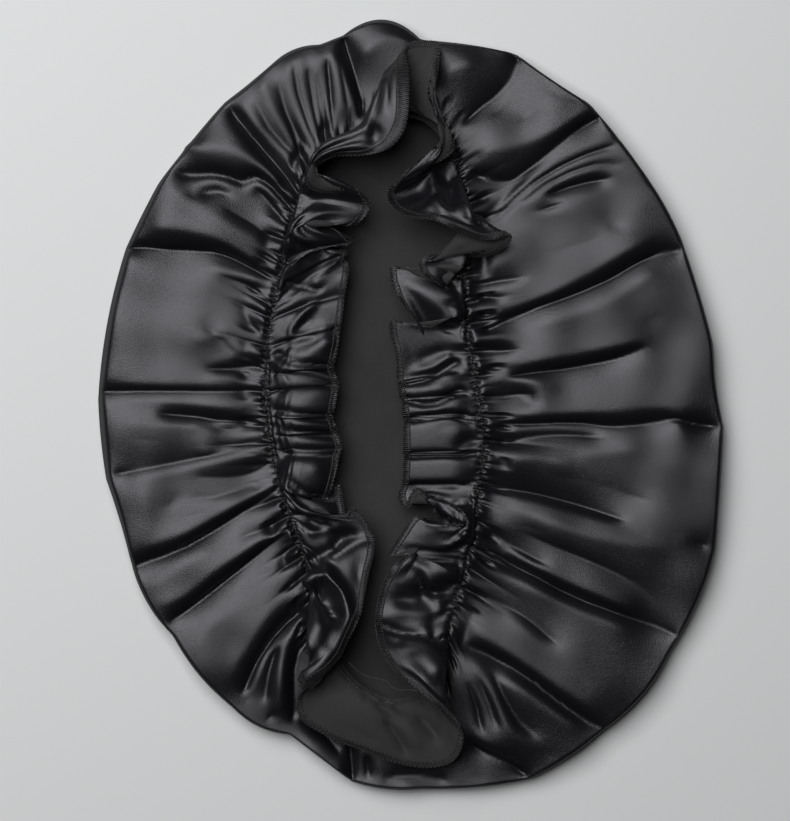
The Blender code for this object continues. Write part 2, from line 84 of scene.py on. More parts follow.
# The creases of the upper cloth: lines of (across, along, height), each edge and each valley as it
# runs, from the right side and round by the top. The cloth lies smoothly between them.
CREASES = (
    # right side: three long steps that look down the bonnet, with flat cloth between them
    ((38, 37, 12.3), (45, 39.5, 13), (60, 46, 14), (70, 51.5, 14.4), (80, 57.5, 14.8),
     (90, 63.5, 14.6), (100, 70, 12.8)),
    ((30, 30, 9.6), (40, 34.5, 10), (50, 38.8, 10.2), (60, 42.2, 10.4), (70, 46, 10.4),
     (80, 50.5, 10.2), (90, 56.5, 9.8), (100, 61, 10), (108, 62, 9)),
    ((26, 12, 11), (40, 14.3, 12.3), (50, 17, 13.3), (60, 19, 13.8), (70, 21, 14), (80, 22.7, 14),
     (90, 24.8, 13.4), (95, 29, 12.8), (97, 35, 12.5)),
    ((40, 11, 10), (50, 13, 9.3), (60, 14.3, 9.2), (70, 16, 9.2), (80, 18, 9.4), (86, 20, 10),
     (92, 23, 11)),
    ((26, -3.5, 11.5), (40, -4.8, 12.6), (50, -4.3, 13), (60, -3.8, 13.3), (70, -3.3, 13.4),
     (80, -3, 13.4), (90, -1.8, 13.3), (100, -1.3, 13.2), (110, -1.3, 12.8), (118, -2.3, 11.5)),
    ((35, -7.6, 10.3), (45, -8, 9.8), (60, -7.3, 9.7), (70, -7.3, 9.8), (80, -8.8, 9.8),
     (90, -8.2, 10), (100, -6.5, 10.2), (106, -5.5, 10.2), (114, -8, 9), (122, -8.7, 7)),
    ((32, -11.5, 11), (40, -10, 11.5), (50, -9.3, 11.4), (60, -9, 11.3), (75, -10.5, 10.8)),
    ((30, -17, 10.3), (40, -14.8, 10), (50, -12.8, 10), (60, -12, 10), (75, -13, 10.3)),
    ((38, -22, 12.8), (50, -21, 13.4), (62, -24, 13.2)),
    ((106, -22, 13.4), (112, -40, 13.4), (104, 22, 12.6), (112, 5, 12.8)),
    ((60, -29, 11.6), (78, -33, 11.3), (92, -38, 11.4)),
    ((70, -20, 13.2), (90, -18, 13.6)),
    ((50, 31, 13.2), (60, 34, 13.6), (80, 41, 14), (96, 52, 13.4)),
    ((60, 6, 11.8), (90, 9, 12.2)),
    ((30, -33, 9.8), (40, -34.4, 9.3), (50, -36, 9), (60, -38.6, 9), (70, -41.5, 9.3),
     (77, -43.8, 10), (84, -46, 11)),
    ((33, -35.3, 11.6), (40, -36.8, 12.2), (50, -38.8, 12.6), (60, -41.5, 12.8), (70, -44.5, 13),
     (80, -47.5, 13.2), (90, -50.5, 13.6), (100, -53.5, 13.8), (110, -56, 13), (118, -56.3, 10)),
    ((42, -42, 13.4), (50, -45, 14.2), (60, -49, 14.8), (72, -53, 15), (82, -55, 15),
     (90, -56.5, 14.8), (100, -58, 14)),
    ((46, -52, 11.6), (60, -58, 11.7), (70, -62, 11.5), (80, -66.5, 11.3), (90, -72, 11),
     (99, -80, 10.5)),
    ((40, -59, 12.4), (50, -64.5, 13.1), (60, -70, 13.4), (70, -74.6, 13.4), (80, -78.4, 13),
     (88, -81.5, 12.2)),
    ((35, -49, 12), (50, -49.8, 12.6)),
    ((33, -51, 10.8), (40, -56.5, 10.6), (47, -60.5, 10.8), (53, -63.5, 10.8)),
    ((34, -60, 9.5), (40, -64, 8.8), (50, -69, 8.5), (60, -74.5, 8.4), (70, -79, 8.4),
     (80, -82.7, 8.4), (90, -86.3, 8.4), (100, -89.5, 8.2), (106, -92.5, 8.2)),
    ((28, -66, 11.8), (40, -70, 12.4), (55, -77, 12.8), (70, -84.5, 12.8), (85, -90, 12.4)),
    ((19, -73.5, 10.5), (30, -77.3, 10.6), (40, -81.8, 10.8), (46, -85.3, 11), (52, -90.3, 11),
     (58, -95.5, 11.3)),
    ((40, -85.5, 12.6), (46, -91, 13), (56, -101, 13.4), (66, -110, 13.4), (75, -117, 13)),
    ((26, -92, 12.2), (32, -95.5, 12.8), (40, -100, 13.4), (50, -106.5, 13.8), (60, -113.5, 13.6),
     (70, -120, 13), (76.5, -125, 11)),
    ((22, -97, 9.2), (30, -99.8, 8.8), (40, -105, 8.4), (50, -112, 8.2), (60, -120, 8),
     (70, -126.8, 8.2), (78, -130.5, 8.4)),
    # foot, right: slim ridges that fan out from the gathers
    ((36, -111, 12.2), (44, -113.7, 12.8), (50, -118.3, 13), (58, -124, 12.8), (66, -129.3, 12)),
    ((33, -108, 11.2), (38, -119, 10.3), (43, -127.5, 10), (50, -132.5, 10.4)),
    ((26, -104, 12.4), (32, -114, 13), (36, -124, 13), (40, -131, 12.8), (48, -136.7, 11.8),
     (56, -141, 9.8)),
    ((27.5, -111, 11.3), (31, -119, 11.2), (34.5, -129, 11)),
    ((23.5, -108, 12), (28.5, -120, 12.3), (31.5, -130, 12)),
    ((23, -112, 11), (26.5, -122, 10.8), (28, -130, 10.5)),
    ((20.5, -106, 11.6), (24, -118, 12), (24.7, -128, 12), (27, -134.8, 11.4), (31, -137, 11),
     (35, -134.8, 11.6)),
    ((24, -136, 7.4), (32, -141, 7), (40, -144.5, 6.6), (46.5, -149, 5)),
    ((30, -140.5, 8.3), (36, -143.3, 8.2), (41, -146.5, 7.4)),
    ((12, -143.5, 8.8), (20, -147.5, 8.6), (29, -150.5, 7.6)),
    ((-8, -149, 7.2), (5, -149.5, 7.4), (14, -151, 7)),
    ((-16.5, -138.5, 10), (-13, -146, 9.2), (-9, -151, 7.6)),
    ((-18, -142, 8.2), (-17, -149.5, 6.6)),
    ((-19.7, -138.5, 10), (-20.3, -149, 8)),
    ((-24.3, -136, 6.6), (-23.8, -147, 6), (-23.5, -151, 4.8)),
    ((-44, -127, 6.2), (-34, -133, 7), (-29, -140, 7.4)),
    ((-40, -119, 7.4), (-46, -124, 6.6)),
    # foot, left: two narrow folds beside the long one
    ((-41, -90, 9.5), (-45, -97, 8), (-47.3, -107, 7.4), (-47.5, -119, 7), (-47.5, -127, 6)),
    ((-40, -85.3, 12), (-44.5, -88.7, 12.7), (-49.3, -94, 13), (-52, -102, 13),
     (-52.4, -112, 12.7), (-53, -122, 11), (-57, -126, 8.6)),
    ((-54.2, -98.5, 9.4), (-57, -108, 9.2), (-58.4, -118, 9)),
    ((-48.5, -89.5, 11), (-53.7, -93.8, 11.3), (-58.7, -100.5, 11.4), (-62.3, -109, 11.2),
     (-66, -119, 9.8)),
    ((-43.5, -83, 9.3), (-50, -87.6, 8.4), (-56, -94.6, 8), (-62, -103.6, 8), (-67, -115, 7.8)),
    ((-44, -75.5, 12), (-52, -79, 13), (-57, -84.5, 13.6), (-62, -91.5, 13.8), (-68, -101, 13.6),
     (-73.5, -111, 12)),
    # left side, lower: long steps that look down and to the right
    ((-65, -80, 13), (-80, -88, 13), (-86, -98, 12.8)),
    ((-70, -72.3, 11.5), (-63, -69.3, 10.8), (-57, -66.8, 10.8), (-54, -63.4, 11)),
    ((-47, -49.5, 10.4), (-52, -53.2, 9.8), (-58, -57.2, 9.2), (-65, -63, 8.7), (-70, -67, 8.5),
     (-76, -71.8, 8.5), (-83, -77.3, 8.5), (-90, -82.7, 8.8), (-96.5, -87, 9.5)),
    ((-50, -49, 12), (-60, -54.7, 13), (-67, -59.3, 13.6), (-74, -63.8, 14), (-80, -68.3, 14.2),
     (-85, -72.8, 14), (-92, -77.8, 13.5), (-100, -80.5, 12.6)),
    ((-62, -50.6, 11.3), (-68, -53.3, 11.6)),
    ((-58, -51.8, 12.6), (-66, -56.3, 13)),
    ((-80, -58.5, 13), (-92, -66, 13), (-104, -73, 12.8)),
    ((-53, -33.8, 10.6), (-58, -36.9, 10), (-66, -41.7, 9.3), (-74, -46.9, 9), (-82, -52.2, 8.8),
     (-90, -56.8, 8.8), (-98, -60.3, 8.8), (-107, -63.3, 8.6), (-113, -66, 8.4)),
    ((-57, -33.8, 12.4), (-64, -37.8, 13), (-70, -41.2, 13.6), (-76, -44.6, 14),
     (-84, -48.8, 14.3), (-91, -51.8, 14.3), (-99, -54.3, 13.8), (-106, -57.5, 12.8)),
    ((-108, -35, 13.4), (-105.8, -42, 13.8), (-105, -52, 13.6)),
    ((-97, -41, 12.4), (-92, -36, 12.2)),
    ((-92, -46, 13.2), (-80, -41.5, 13.2), (-70, -37.5, 12.8)),
    ((-88, -37.5, 12), (-78, -37, 11.6), (-70, -34.5, 11.3), (-62, -31, 11)),
    ((-56, -23.5, 10.6), (-61, -26.4, 10.5), (-68, -28.7, 10.8), (-76, -29.3, 11.4),
     (-85, -29, 12)),
    ((-60, -15.3, 11.6), (-70, -18.2, 11.8), (-80, -20.3, 11.5), (-90, -22.4, 11.2),
     (-100, -24.4, 11), (-110, -26.4, 10.8), (-119, -28, 9.6)),
    ((-60, -18.3, 12.8), (-70, -21.4, 13.2), (-80, -23.6, 13.2), (-90, -25.8, 13),
     (-100, -27.8, 12.8), (-110, -29.8, 12.4), (-119, -31, 10.8)),
    # left side, middle: a sharp crease straight across, and dents beside it
    ((-60, -14, 11), (-68, -16, 10.8), (-76, -16.6, 11)),
    ((-80, -10.4, 12.8), (-83.6, -15, 12.9), (-82, -20, 13)),
    ((-100, -15, 12.7), (-112, -14, 12.4)),
    ((-60, -10, 10.9), (-70, -9.8, 10.6), (-78, -9.7, 10.9)),
    ((-62, -8.8, 12), (-77, -8.2, 12)),
    ((-84, -8.6, 13.4), (-97, -8.4, 14), (-112, -7.5, 13.6)),
    ((-59, -7.4, 10.6), (-68, -6.9, 10.2), (-78, -6.2, 10.3), (-85, -5, 10.8), (-92, -4.4, 11),
     (-100, -3.8, 11.5)),
    ((-66, -1.5, 12.6), (-80, -0.8, 13), (-95, 0.8, 13.2), (-110, 1.8, 12.8), (-119, 2.3, 11)),
    ((-59, 5.6, 11), (-70, 5.4, 11), (-80, 5.4, 11), (-90, 5.5, 10.9), (-100, 5.5, 10.8),
     (-110, 5.5, 10.4), (-118, 5.4, 9.6), (-124, 5.2, 8.4)),
    ((-66, 8.2, 12.4), (-80, 7.6, 12.8), (-95, 7.6, 12.9), (-110, 7.8, 12.7), (-119, 8.2, 11.4)),
    ((-80, 11.3, 13.2), (-68, 11.2, 12.8)),
    ((-60, 15.5, 10.6), (-68, 14.7, 10.5), (-76, 14.1, 11), (-82, 14, 12)),
    ((-80, 17, 13), (-70, 17.6, 12.9)),
    ((-72, 21.3, 12), (-79, 28, 12.5), (-85, 36, 13.2)),
    ((-61, 22, 12.8), (-69, 20.4, 13.3)),
    ((-86, 26, 13.8), (-74, 29, 13.6)),
    ((-67.5, 42, 11), (-66, 35, 10.8), (-61.5, 29, 10.8)),
    ((-61, 41, 12.8), (-58.5, 36, 13.6), (-59, 31, 12.8)),
    # left side, upper: a long shadowed step, and the broad bright folds above it
    ((-54, 45, 10.8), (-62, 47, 10.6), (-68, 48.9, 11), (-76, 51.5, 12.2)),
    ((-60, 49.6, 12.6), (-70, 51.9, 12.8), (-79, 54.6, 12.9)),
    ((-54, 49.5, 10.4), (-60, 52.4, 10.2), (-66, 56, 9.9), (-73, 59.6, 9.6), (-80, 61.6, 9.4),
     (-90, 62.2, 9.3), (-100, 62.6, 9), (-108, 63.4, 8.2), (-114, 62.7, 6.5)),
    ((-52, 51.5, 12.3), (-58, 54.3, 13.2), (-64, 58.2, 14), (-72, 63.8, 14.8), (-80, 67.6, 15.2),
     (-90, 70, 15.3), (-100, 70.8, 14.6), (-108, 68.3, 11.5)),
    ((-54, 57.3, 11.2), (-60, 60.6, 11.6)),
    ((-52, 59.3, 12.8), (-60, 64, 13.6), (-68, 68.8, 14.4), (-76, 73.8, 14.6), (-84, 79.3, 14.4),
     (-92, 84, 13.8), (-98, 88.3, 12.6)),
    ((-52, 65, 11.3), (-60, 70.5, 11.9), (-74, 78.5, 12.8)),
    ((-50, 69, 12.4), (-57, 74.2, 13.2)),
    ((-49, 71.5, 11.2), (-53.3, 76.6, 10.8), (-58.4, 83.3, 10.8), (-62, 86.2, 11)),
    ((-47.5, 74, 12.3), (-52, 79, 12.9), (-56.5, 85.2, 13.2), (-60.2, 89, 13.1),
     (-63.7, 88.7, 12.8), (-66, 85.3, 12.4)),
    ((-84, 84.2, 10.9), (-78, 85.8, 10.9), (-73, 84.3, 11.4)),
    ((-88, 83, 12.9), (-86.5, 87.3, 12.8), (-82, 90, 12.6), (-75, 89.2, 12.5), (-69, 86.6, 12.5)),
    ((-46, 77, 10.6), (-50, 80.8, 10), (-56, 87.6, 9.6), (-62, 91.4, 9.5), (-68, 89.3, 9.6),
     (-74, 91.6, 9.4), (-80, 92.6, 9.3), (-87, 92, 9.4), (-93, 92.5, 9.3)),
    ((-47, 82, 13), (-52, 87.6, 14), (-58, 93.6, 14.8), (-64, 98.2, 15.3), (-70, 101.2, 15.5),
     (-78, 102.7, 15.4), (-85, 103, 14.6), (-91, 103.2, 12.8)),
    ((-45, 84.3, 10), (-50, 91, 9.4), (-58, 100.3, 9.2), (-66, 110, 9), (-72.5, 118.5, 8.2)),
    # top left: broad folds, then long narrow loops of cloth
    ((-43, 94.5, 11.5), (-53, 103, 12.7), (-61, 111.5, 13.3), (-67.5, 120.5, 12.9)),
    ((-44, 98.3, 10.9), (-49.5, 102.6, 11.2), (-57.3, 111.3, 12), (-62.5, 122, 12.6)),
    ((-41, 99.5, 11.8), (-48, 107, 12.9), (-55, 118, 13.8), (-60, 129, 13.6)),
    ((-40, 101.5, 11), (-44.7, 106.5, 11.1), (-50.5, 118, 12), (-53.5, 130, 12.8)),
    ((-37.3, 102, 12.1), (-42.2, 110, 12.8), (-47.2, 125, 13.7), (-49.2, 137, 13.9)),
    ((-37.6, 105, 11.5), (-40.7, 111.5, 11.9), (-45.3, 125, 12.7), (-46.8, 136, 13.3)),
    ((-34.5, 100.5, 11.9), (-39, 111, 12.8), (-42, 122, 13.5), (-44.2, 133, 14.1),
     (-45, 139.5, 13.8)),
    ((-36.5, 108, 11.5), (-39, 120, 12.2), (-41, 134, 13)),
    ((-35, 106, 11.9), (-37.7, 119, 12.8), (-39, 133, 13.6)),
    ((-34.2, 109, 11.7), (-36.5, 120, 12.4), (-37.6, 132, 13.1)),
    ((-33, 108, 12.4), (-35, 120, 13.5), (-36, 130, 14.1), (-36.3, 139, 14.2)),
    ((-31, 110, 11.2), (-32.3, 125, 12), (-33.5, 138, 13)),
    ((-27.5, 117, 13.1), (-28.2, 122, 13.7), (-29.6, 132, 14.2), (-31.6, 141, 14.3)),
    ((-25, 119, 12.3), (-26.7, 128, 13), (-29, 139, 13.6)),
    ((-21.3, 117.5, 12.8), (-24, 125, 13.4), (-27, 135, 13.4), (-30.3, 144, 12.2)),
    ((-18.7, 117, 9.4), (-21.7, 128, 8.9), (-24.3, 138, 8.8), (-27, 147, 8)),
    ((-19, 141, 13.8), (-10, 147.5, 14), (0, 146, 13.4)),
    ((-14, 125, 11.2), (-5, 127, 11)),
    # top right: the lobe beside the frill's corner, then steps and long ridges that look outwards
    ((10, 128, 13.4), (16, 134, 15), (24, 137, 14.8)),
    ((22, 113.5, 9.6), (28, 119.3, 9.6), (34, 123.8, 9.6), (40, 130.5, 9.6), (42.6, 137, 9),
     (43, 140.5, 6.5)),
    ((48, 134.5, 11), (44, 127.5, 11), (33, 116.5, 11.4)),
    ((44, 114, 13.2), (54, 121, 13.2)),
    ((54, 127, 12.1), (62, 123.5, 13.4), (69, 121, 14.3)),
    ((22, 100.3, 13), (30, 101.5, 14.4), (39, 102.7, 15), (47.2, 105, 15.3), (55.3, 108.4, 15.4),
     (62.3, 112.2, 15.4), (68.6, 116.9, 15.2), (73, 119.6, 14)),
    ((24, 93, 9.3), (32, 90, 9.2), (40, 89.5, 9.4), (47, 94.2, 10.4), (52, 98.3, 11.6),
     (58, 103.5, 12), (64, 108.5, 11.4), (70, 112.5, 10.2), (75, 115, 9.2)),
    ((33, 77.5, 10.6), (40, 85.3, 10.6), (46, 91, 10.8)),
    ((30, 74, 11.8), (36, 79, 12.6), (43, 86, 13), (50, 91.5, 13.2), (60, 97.4, 13.4),
     (70, 102, 13.4), (80, 105.8, 13), (84.5, 107.3, 11.5)),
    ((34, 74, 11.2), (42, 82.6, 11.3), (50, 89.3, 11.6), (60, 95.4, 11.9), (70, 100.2, 12.1),
     (81, 103.8, 12)),
    ((36, 73, 12.4), (42, 80.2, 12.8), (48, 86, 13.1), (55, 91, 13.4), (62, 95, 13.6),
     (70, 98, 13.6), (78, 99.6, 13.5), (86, 99, 13.2), (92, 95.3, 12.8), (97, 88, 12)),
    ((45, 80.8, 11.9), (55, 88.7, 12.2), (65, 93.5, 12.5), (74, 96.3, 12.7), (83, 95.8, 12.7)),
    ((40, 75.3, 12.6), (47, 81, 13), (55, 86.5, 13.3), (65, 91.5, 13.6), (74, 94, 13.6),
     (81, 93.4, 13.5), (84.4, 90, 13.3), (82.4, 86, 13), (74, 84.4, 12.9), (62, 82.3, 12.8),
     (52, 79.8, 12.7)),
    ((56, 84.6, 10.9), (63, 87.3, 10.6), (71, 89.4, 10.5), (78, 90.3, 11)),
    ((48, 75.3, 12.9), (55, 76.8, 13.2), (62, 78.2, 13.4), (68, 77.2, 13.2)),
    ((52, 77.9, 12), (60, 80.2, 12.2)),
    ((78, 76, 12.3), (84, 70, 12.2)),
    ((90, 78.5, 13.5), (97, 79.5, 13)),
    ((60, 62, 13), (78, 68, 13.2)),
    ((25, 51, 12.3), (32, 55, 13), (38, 58, 13.2)),
    ((25, 47.6, 10.4), (35, 49.6, 10.8), (44, 50.6, 11.6)),
    ((28, 44.3, 12.2), (40, 46.9, 12.8), (52, 49, 13.4)),
    ((28, 42.4, 10.9), (36, 43, 10.9)),
    # right side: dents with raised rims beside the elastic
    ((24, 36.3, 10), (33, 35.8, 10.4)),
    ((25, 39.3, 12), (33, 39.3, 12.7), (36.3, 36, 12.8), (33.5, 32.6, 12.5)),
    ((26, 20.5, 10), (34, 21.3, 10), (41, 21.8, 10.4)),
    ((27, 25.3, 12), (35, 26.8, 12.8), (43, 26, 13), (46, 21.7, 13), (44, 17, 12.8),
     (37, 16.2, 12.6)),
    ((29, 2.5, 10.2), (38, 3.3, 10.2), (46, 4.5, 10.3), (48.8, 0, 10.6)),
    ((28, 7.5, 12), (36, 10.2, 12.8), (44, 10.8, 13.3), (50.8, 8, 13.3), (52.8, 2, 13.2),
     (50.5, -3, 13)),
)


def stations(count):
    """The stations of so many columns, evenly round the bonnet."""
    return np.arange(count) / count


def by_station(table, count=COLUMNS):
    """A table of (station, value), read at so many columns."""
    return np.interp(stations(count), *zip(*table))


def named_columns(names, rows):
    """A table's columns, by their names."""
    return dict(zip(names, np.array(rows, float).T))


def left_of(way):
    """The directions a quarter turn to the left of these, as seen from above."""
    return np.stack([-way[..., 1], way[..., 0]], -1)


def unit(way, tiny=0.0):
    """These directions with a length of 1."""
    return way / (np.linalg.norm(way, axis=-1, keepdims=True) + tiny)


def smooth_loop(points, steps):
    """A closed smooth curve through the points, with so many steps from each to the next."""
    here = np.asarray(points, float)
    before, after, far = np.roll(here, 1, 0), np.roll(here, -1, 0), np.roll(here, -2, 0)
    t = (np.arange(steps) / steps)[None, :, None]
    curve = 0.5 * (2 * here[:, None] + (after - before)[:, None] * t
                   + (2 * before - 5 * here + 4 * after - far)[:, None] * t ** 2
                   + (3 * here - before - 3 * after + far)[:, None] * t ** 3)
    return curve.reshape(-1, here.shape[1])


class MeasuredLoop:
    """A closed line that is read by its station, from 0 to 1 once round."""

    ASIDE = 0.004              # stations so far to either side give its direction

    def __init__(self, points):
        self.points = np.vstack([points, points[:1]])
        steps = np.linalg.norm(np.diff(self.points, axis=0), axis=1)
        self.run = np.r_[0, np.cumsum(steps)]
        self.length = self.run[-1]

    def at(self, station):
        run = (np.asarray(station) % 1.0) * self.length
        return np.stack([np.interp(run, self.run, line) for line in self.points.T], -1)

    def inward(self, station):
        here = np.asarray(station)
        return unit(left_of(self.at(here + self.ASIDE) - self.at(here - self.ASIDE)))


station = stations(COLUMNS)
elastic_loop = MeasuredLoop(smooth_loop(ELASTIC_LINE, 24))
rng = np.random.default_rng(CLOTH_SEED)


def crown_courses():
    """For each column: its place on the outline, its way to the elastic, and how far it bows."""
    table = named_columns(OUTLINE_COLUMNS, OUTLINE)
    starts = table["station"]
    part = (np.searchsorted(starts, station, side="right") - 1) % len(starts)
    after = (part + 1) % len(starts)
    t = ((station - starts[part]) % 1.0) / ((starts[after] - starts[part]) % 1.0)
    corners = np.stack([table["rim_x"], table["rim_y"]], -1)
    chord = corners[after] - corners[part]
    place = corners[part] + chord * t[:, None]
    place += unit(-left_of(chord)) * (table["bulge"][part] * 4 * t * (1 - t))[:, None]
    bow = table["bow"][part] * (1 - t) + table["bow"][after] * t
    return place, elastic_loop.at(station) - place, bow


outline, course, course_bow = crown_courses()

# the height map of the upper cloth, and how the creases mark it
GRID_LOW, GRID_CELL, GRID_SIZE = np.array([-132.0, -162.0]), 0.5, (530, 654)
GRID_STAGES = (16, 8, 4, 2, 1)     # from coarse cells to fine ones
SMOOTHING_ROUNDS = 110
MARK_STEP = 0.4                # along a crease
CREASE_FADE = 7.0              # a crease holds the cloth less within so much of its ends
CREASE_HOLD, FIRMEST_HOLD = 8.0, 40.0
LOW_END, LOW_REACH = 9.6, 6.0  # a crease that ends so low runs out at the outline, so wide
RIM_HOLD, FAINTEST_HOLD = 0.35, 1e-4
SWELL = 2.3                    # the cloth swells between creases: steep within so much of a valley
RIDGE_ROUNDING = 12            # how softly a fold rolls over


def crease_marks():
    """Places across, along and up that hold the height map, and how firmly each does."""
    marks = []
    for line in CREASES:
        here = np.array(line, float)
        run = np.r_[0, np.cumsum(np.linalg.norm(np.diff(here, axis=0), axis=1))]
        at = np.arange(0, run[-1] + 0.5 * MARK_STEP, MARK_STEP)
        spots = np.stack([np.interp(at, run, here[:, k]) for k in range(3)], -1)
        fade = np.clip((np.minimum(at, run[-1] - at) + 0.6) / CREASE_FADE, 0.03, 1)
        marks.append(np.c_[spots, fade])
    square = unit(left_of(np.roll(outline, -3, 0) - np.roll(outline, 3, 0)))
    soft = by_station(RIM_SOFT)
    low = np.array([line[k] for line in CREASES for k in (0, -1) if line[k][2] < LOW_END], float)
    for inset, height in RIM_RISE:
        spot = outline + square * (inset * soft)[:, None]
        near_low = np.linalg.norm(spot[:, None] - low[None, :, :2], axis=2).min(1)
        firm = np.clip(near_low / LOW_REACH - 0.7, 0, 1) * np.clip((soft - 0.55) / 0.3, 0, 1)
        marks.append(np.c_[spot, np.full(COLUMNS, height), RIM_HOLD * firm + FAINTEST_HOLD])
    marks.append(np.c_[elastic_loop.at(station), np.full(COLUMNS, GATHER_HEIGHT), np.ones(COLUMNS)])
    return np.concatenate(marks)


def beside(grid):
    """The sum of the four neighbours of each cell."""
    edged = np.pad(grid, 1, mode="edge")
    return edged[2:, 1:-1] + edged[:-2, 1:-1] + edged[1:-1, 2:] + edged[1:-1, :-2]


def crease_map():
    """The height of the upper cloth on a fine grid: held by the creases, smooth between them."""
    marks = crease_marks()
    height = None
    for cell in GRID_STAGES:
        size = tuple(-(-n // cell) for n in GRID_SIZE)
        at = (marks[:, :2] - GRID_LOW) / (GRID_CELL * cell)
        i, f = np.floor(at).astype(int), at - np.floor(at)
        weight, total = np.zeros(size), np.zeros(size)
        for corner in ((0, 0), (0, 1), (1, 0), (1, 1)):
            near_it = np.abs(1 - np.array(corner) - f)
            share = near_it[:, 0] * near_it[:, 1] * marks[:, 3]
            cells = tuple(np.clip(i + corner, 0, np.array(size) - 1).T)
            np.add.at(weight, cells, share)
            np.add.at(total, cells, share * np.exp((marks[:, 2] - GATHER_HEIGHT) / SWELL))
        if height is None:
            height = np.ones(size)
        else:
            height = np.kron(height, np.ones((2, 2)))[:size[0], :size[1]]
        hold = np.minimum(weight * CREASE_HOLD, FIRMEST_HOLD)
        held = hold * total / np.maximum(weight, 1e-9)
        for _ in range(SMOOTHING_ROUNDS):
            height = (beside(height) + held) / (4.0 + hold)
    height = GATHER_HEIGHT + SWELL * np.log(height)
    rounded = height.copy()
    for _ in range(RIDGE_ROUNDING):
        rounded = 0.25 * beside(rounded)
    return np.minimum(height, rounded)     # the ridges roll over softly, the valleys stay sharp


crown_height_map = crease_map()


def between(grid, a, b, row, f, g):
    """A grid's values at a share f of the way from column a to b, and g from a row to the next."""
    return ((grid[a, row] * (1 - f) + grid[b, row] * f) * (1 - g)
            + (grid[a, row + 1] * (1 - f) + grid[b, row + 1] * f) * g)


def crown_height(plan):
    """The height map, read at places in mm."""
    at = np.clip((plan - GRID_LOW) / GRID_CELL, 0, np.array(GRID_SIZE) - 1.001)
    cell = at.astype(int)
    share = at - cell
    a, row = cell[..., 0], cell[..., 1]
    return between(crown_height_map, a, a + 1, row, share[..., 0], share[..., 1])


# how far the rows are on their way to the elastic, by their share of the rows: close at both ends
CROWN_SPACING = ((0, 0), (0.061, 0.013), (0.143, 0.062), (0.72, 0.84), (0.86, 0.947), (1, 1))


def crown_layout():
    """The upper cloth before it gathers: its places, its rise at the outline, how far is left."""
    length = np.linalg.norm(course, axis=1)
    side = -left_of(course) / length[:, None]
    way = np.interp(np.arange(CROWN_ROWS) / (CROWN_ROWS - 1), *zip(*CROWN_SPACING))
    plan = outline[:, None] + course[:, None] * way[None, :, None]
    plan += side[:, None] * (course_bow[:, None] * 4 * way * (1 - way))[..., None]
    turn = RIM_TURN * by_station(RIM_SOFT)
    rise = np.sqrt(1 - (1 - np.clip(length[:, None] * way[None] / turn[:, None], 0, 1)) ** 2)
    z = RIM_HEIGHT + (crown_height(plan) - RIM_HEIGHT) * rise
    z[:, -1] = GATHER_HEIGHT
    return np.concatenate([plan, z[..., None]], -1), rise, length[:, None] * (1 - way)[None]


SHEAR = 0.25                   # how firmly the cloth keeps its squares square
SATIN_STIFFNESS = 0.05


def free_cloth(columns, rows):
    """How freely each point moves: not at all in the first row and the last."""
    free = np.ones((columns, rows))
    free[:, 0] = free[:, -1] = 0
    return free


def cut_lengths(place):
    """The lengths of the cloth from each point to the next, round the bonnet and down."""
    return (np.linalg.norm(np.roll(place, -1, 0) - place, axis=-1),
            np.linalg.norm(np.diff(place, axis=1), axis=-1))


def pull_together(a, b, rest, free_a, free_b, share):
    """Moves pairs of points towards their cloth distance."""
    apart = b - a
    size = np.sqrt(np.einsum("...i,...i", apart, apart)) + 1e-9
    step = (share * (size - rest) / (size * (free_a + free_b + 1e-9)))[..., None] * apart
    a += free_a[..., None] * step
    b -= free_b[..., None] * step


def relax(place, free, round_cut, down_cut, rounds, stiffness, lowest=2.0, drawn=None):
    """Lets the cloth settle: it keeps its cut lengths, bends evenly and stays above the lowest.

    drawn is how firmly each point is drawn to the height map, with its rise and the relief on it.
    """
    columns, rows, _ = place.shape
    moves = (free > 0)[..., None]
    slant = np.hypot(round_cut[:, :-1], down_cut)
    for step in range(rounds):
        if drawn is not None:
            hold, rise, relief = drawn
            if step % 8 == 0:
                target = RIM_HEIGHT + (crown_height(place[..., :2]) - RIM_HEIGHT) * rise + relief
            place[..., 2] += hold * (target - place[..., 2])
        across = 0.5 * (np.roll(place, 1, 0) + np.roll(place, -1, 0)) - place
        place += stiffness * across * moves
        down = np.zeros_like(place)
        down[:, 1:-1] = 0.5 * (place[:, :-2] + place[:, 2:]) - place[:, 1:-1]
        place += 0.5 * stiffness * down * moves
        for shift in (0, 1):
            moved, w = np.roll(place, -shift, 0), np.roll(free, -shift, 0)
            cut, diagonal = np.roll(round_cut, -shift, 0)[::2], np.roll(slant, -shift, 0)[::2]
            p, q, wp, wq = moved[::2], moved[1::2], w[::2], w[1::2]
            pull_together(p, q, cut, wp, wq, 1.0)
            pull_together(p[:, :-1], q[:, 1:], diagonal, wp[:, :-1], wq[:, 1:], SHEAR)
            pull_together(p[:, 1:], q[:, :-1], diagonal, wp[:, 1:], wq[:, :-1], SHEAR)
            place[:] = np.roll(moved, shift, 0)
        for first in (0, 1):
            pairs = (rows - first) // 2
            upper = slice(first, first + 2 * pairs, 2)
            lower = slice(first + 1, first + 2 * pairs, 2)
            pull_together(place[:, upper], place[:, lower], down_cut[:, upper][:, :pairs],
                          free[:, upper], free[:, lower], 1.0)
        np.maximum(place[..., 2], lowest, out=place[..., 2])
    return place


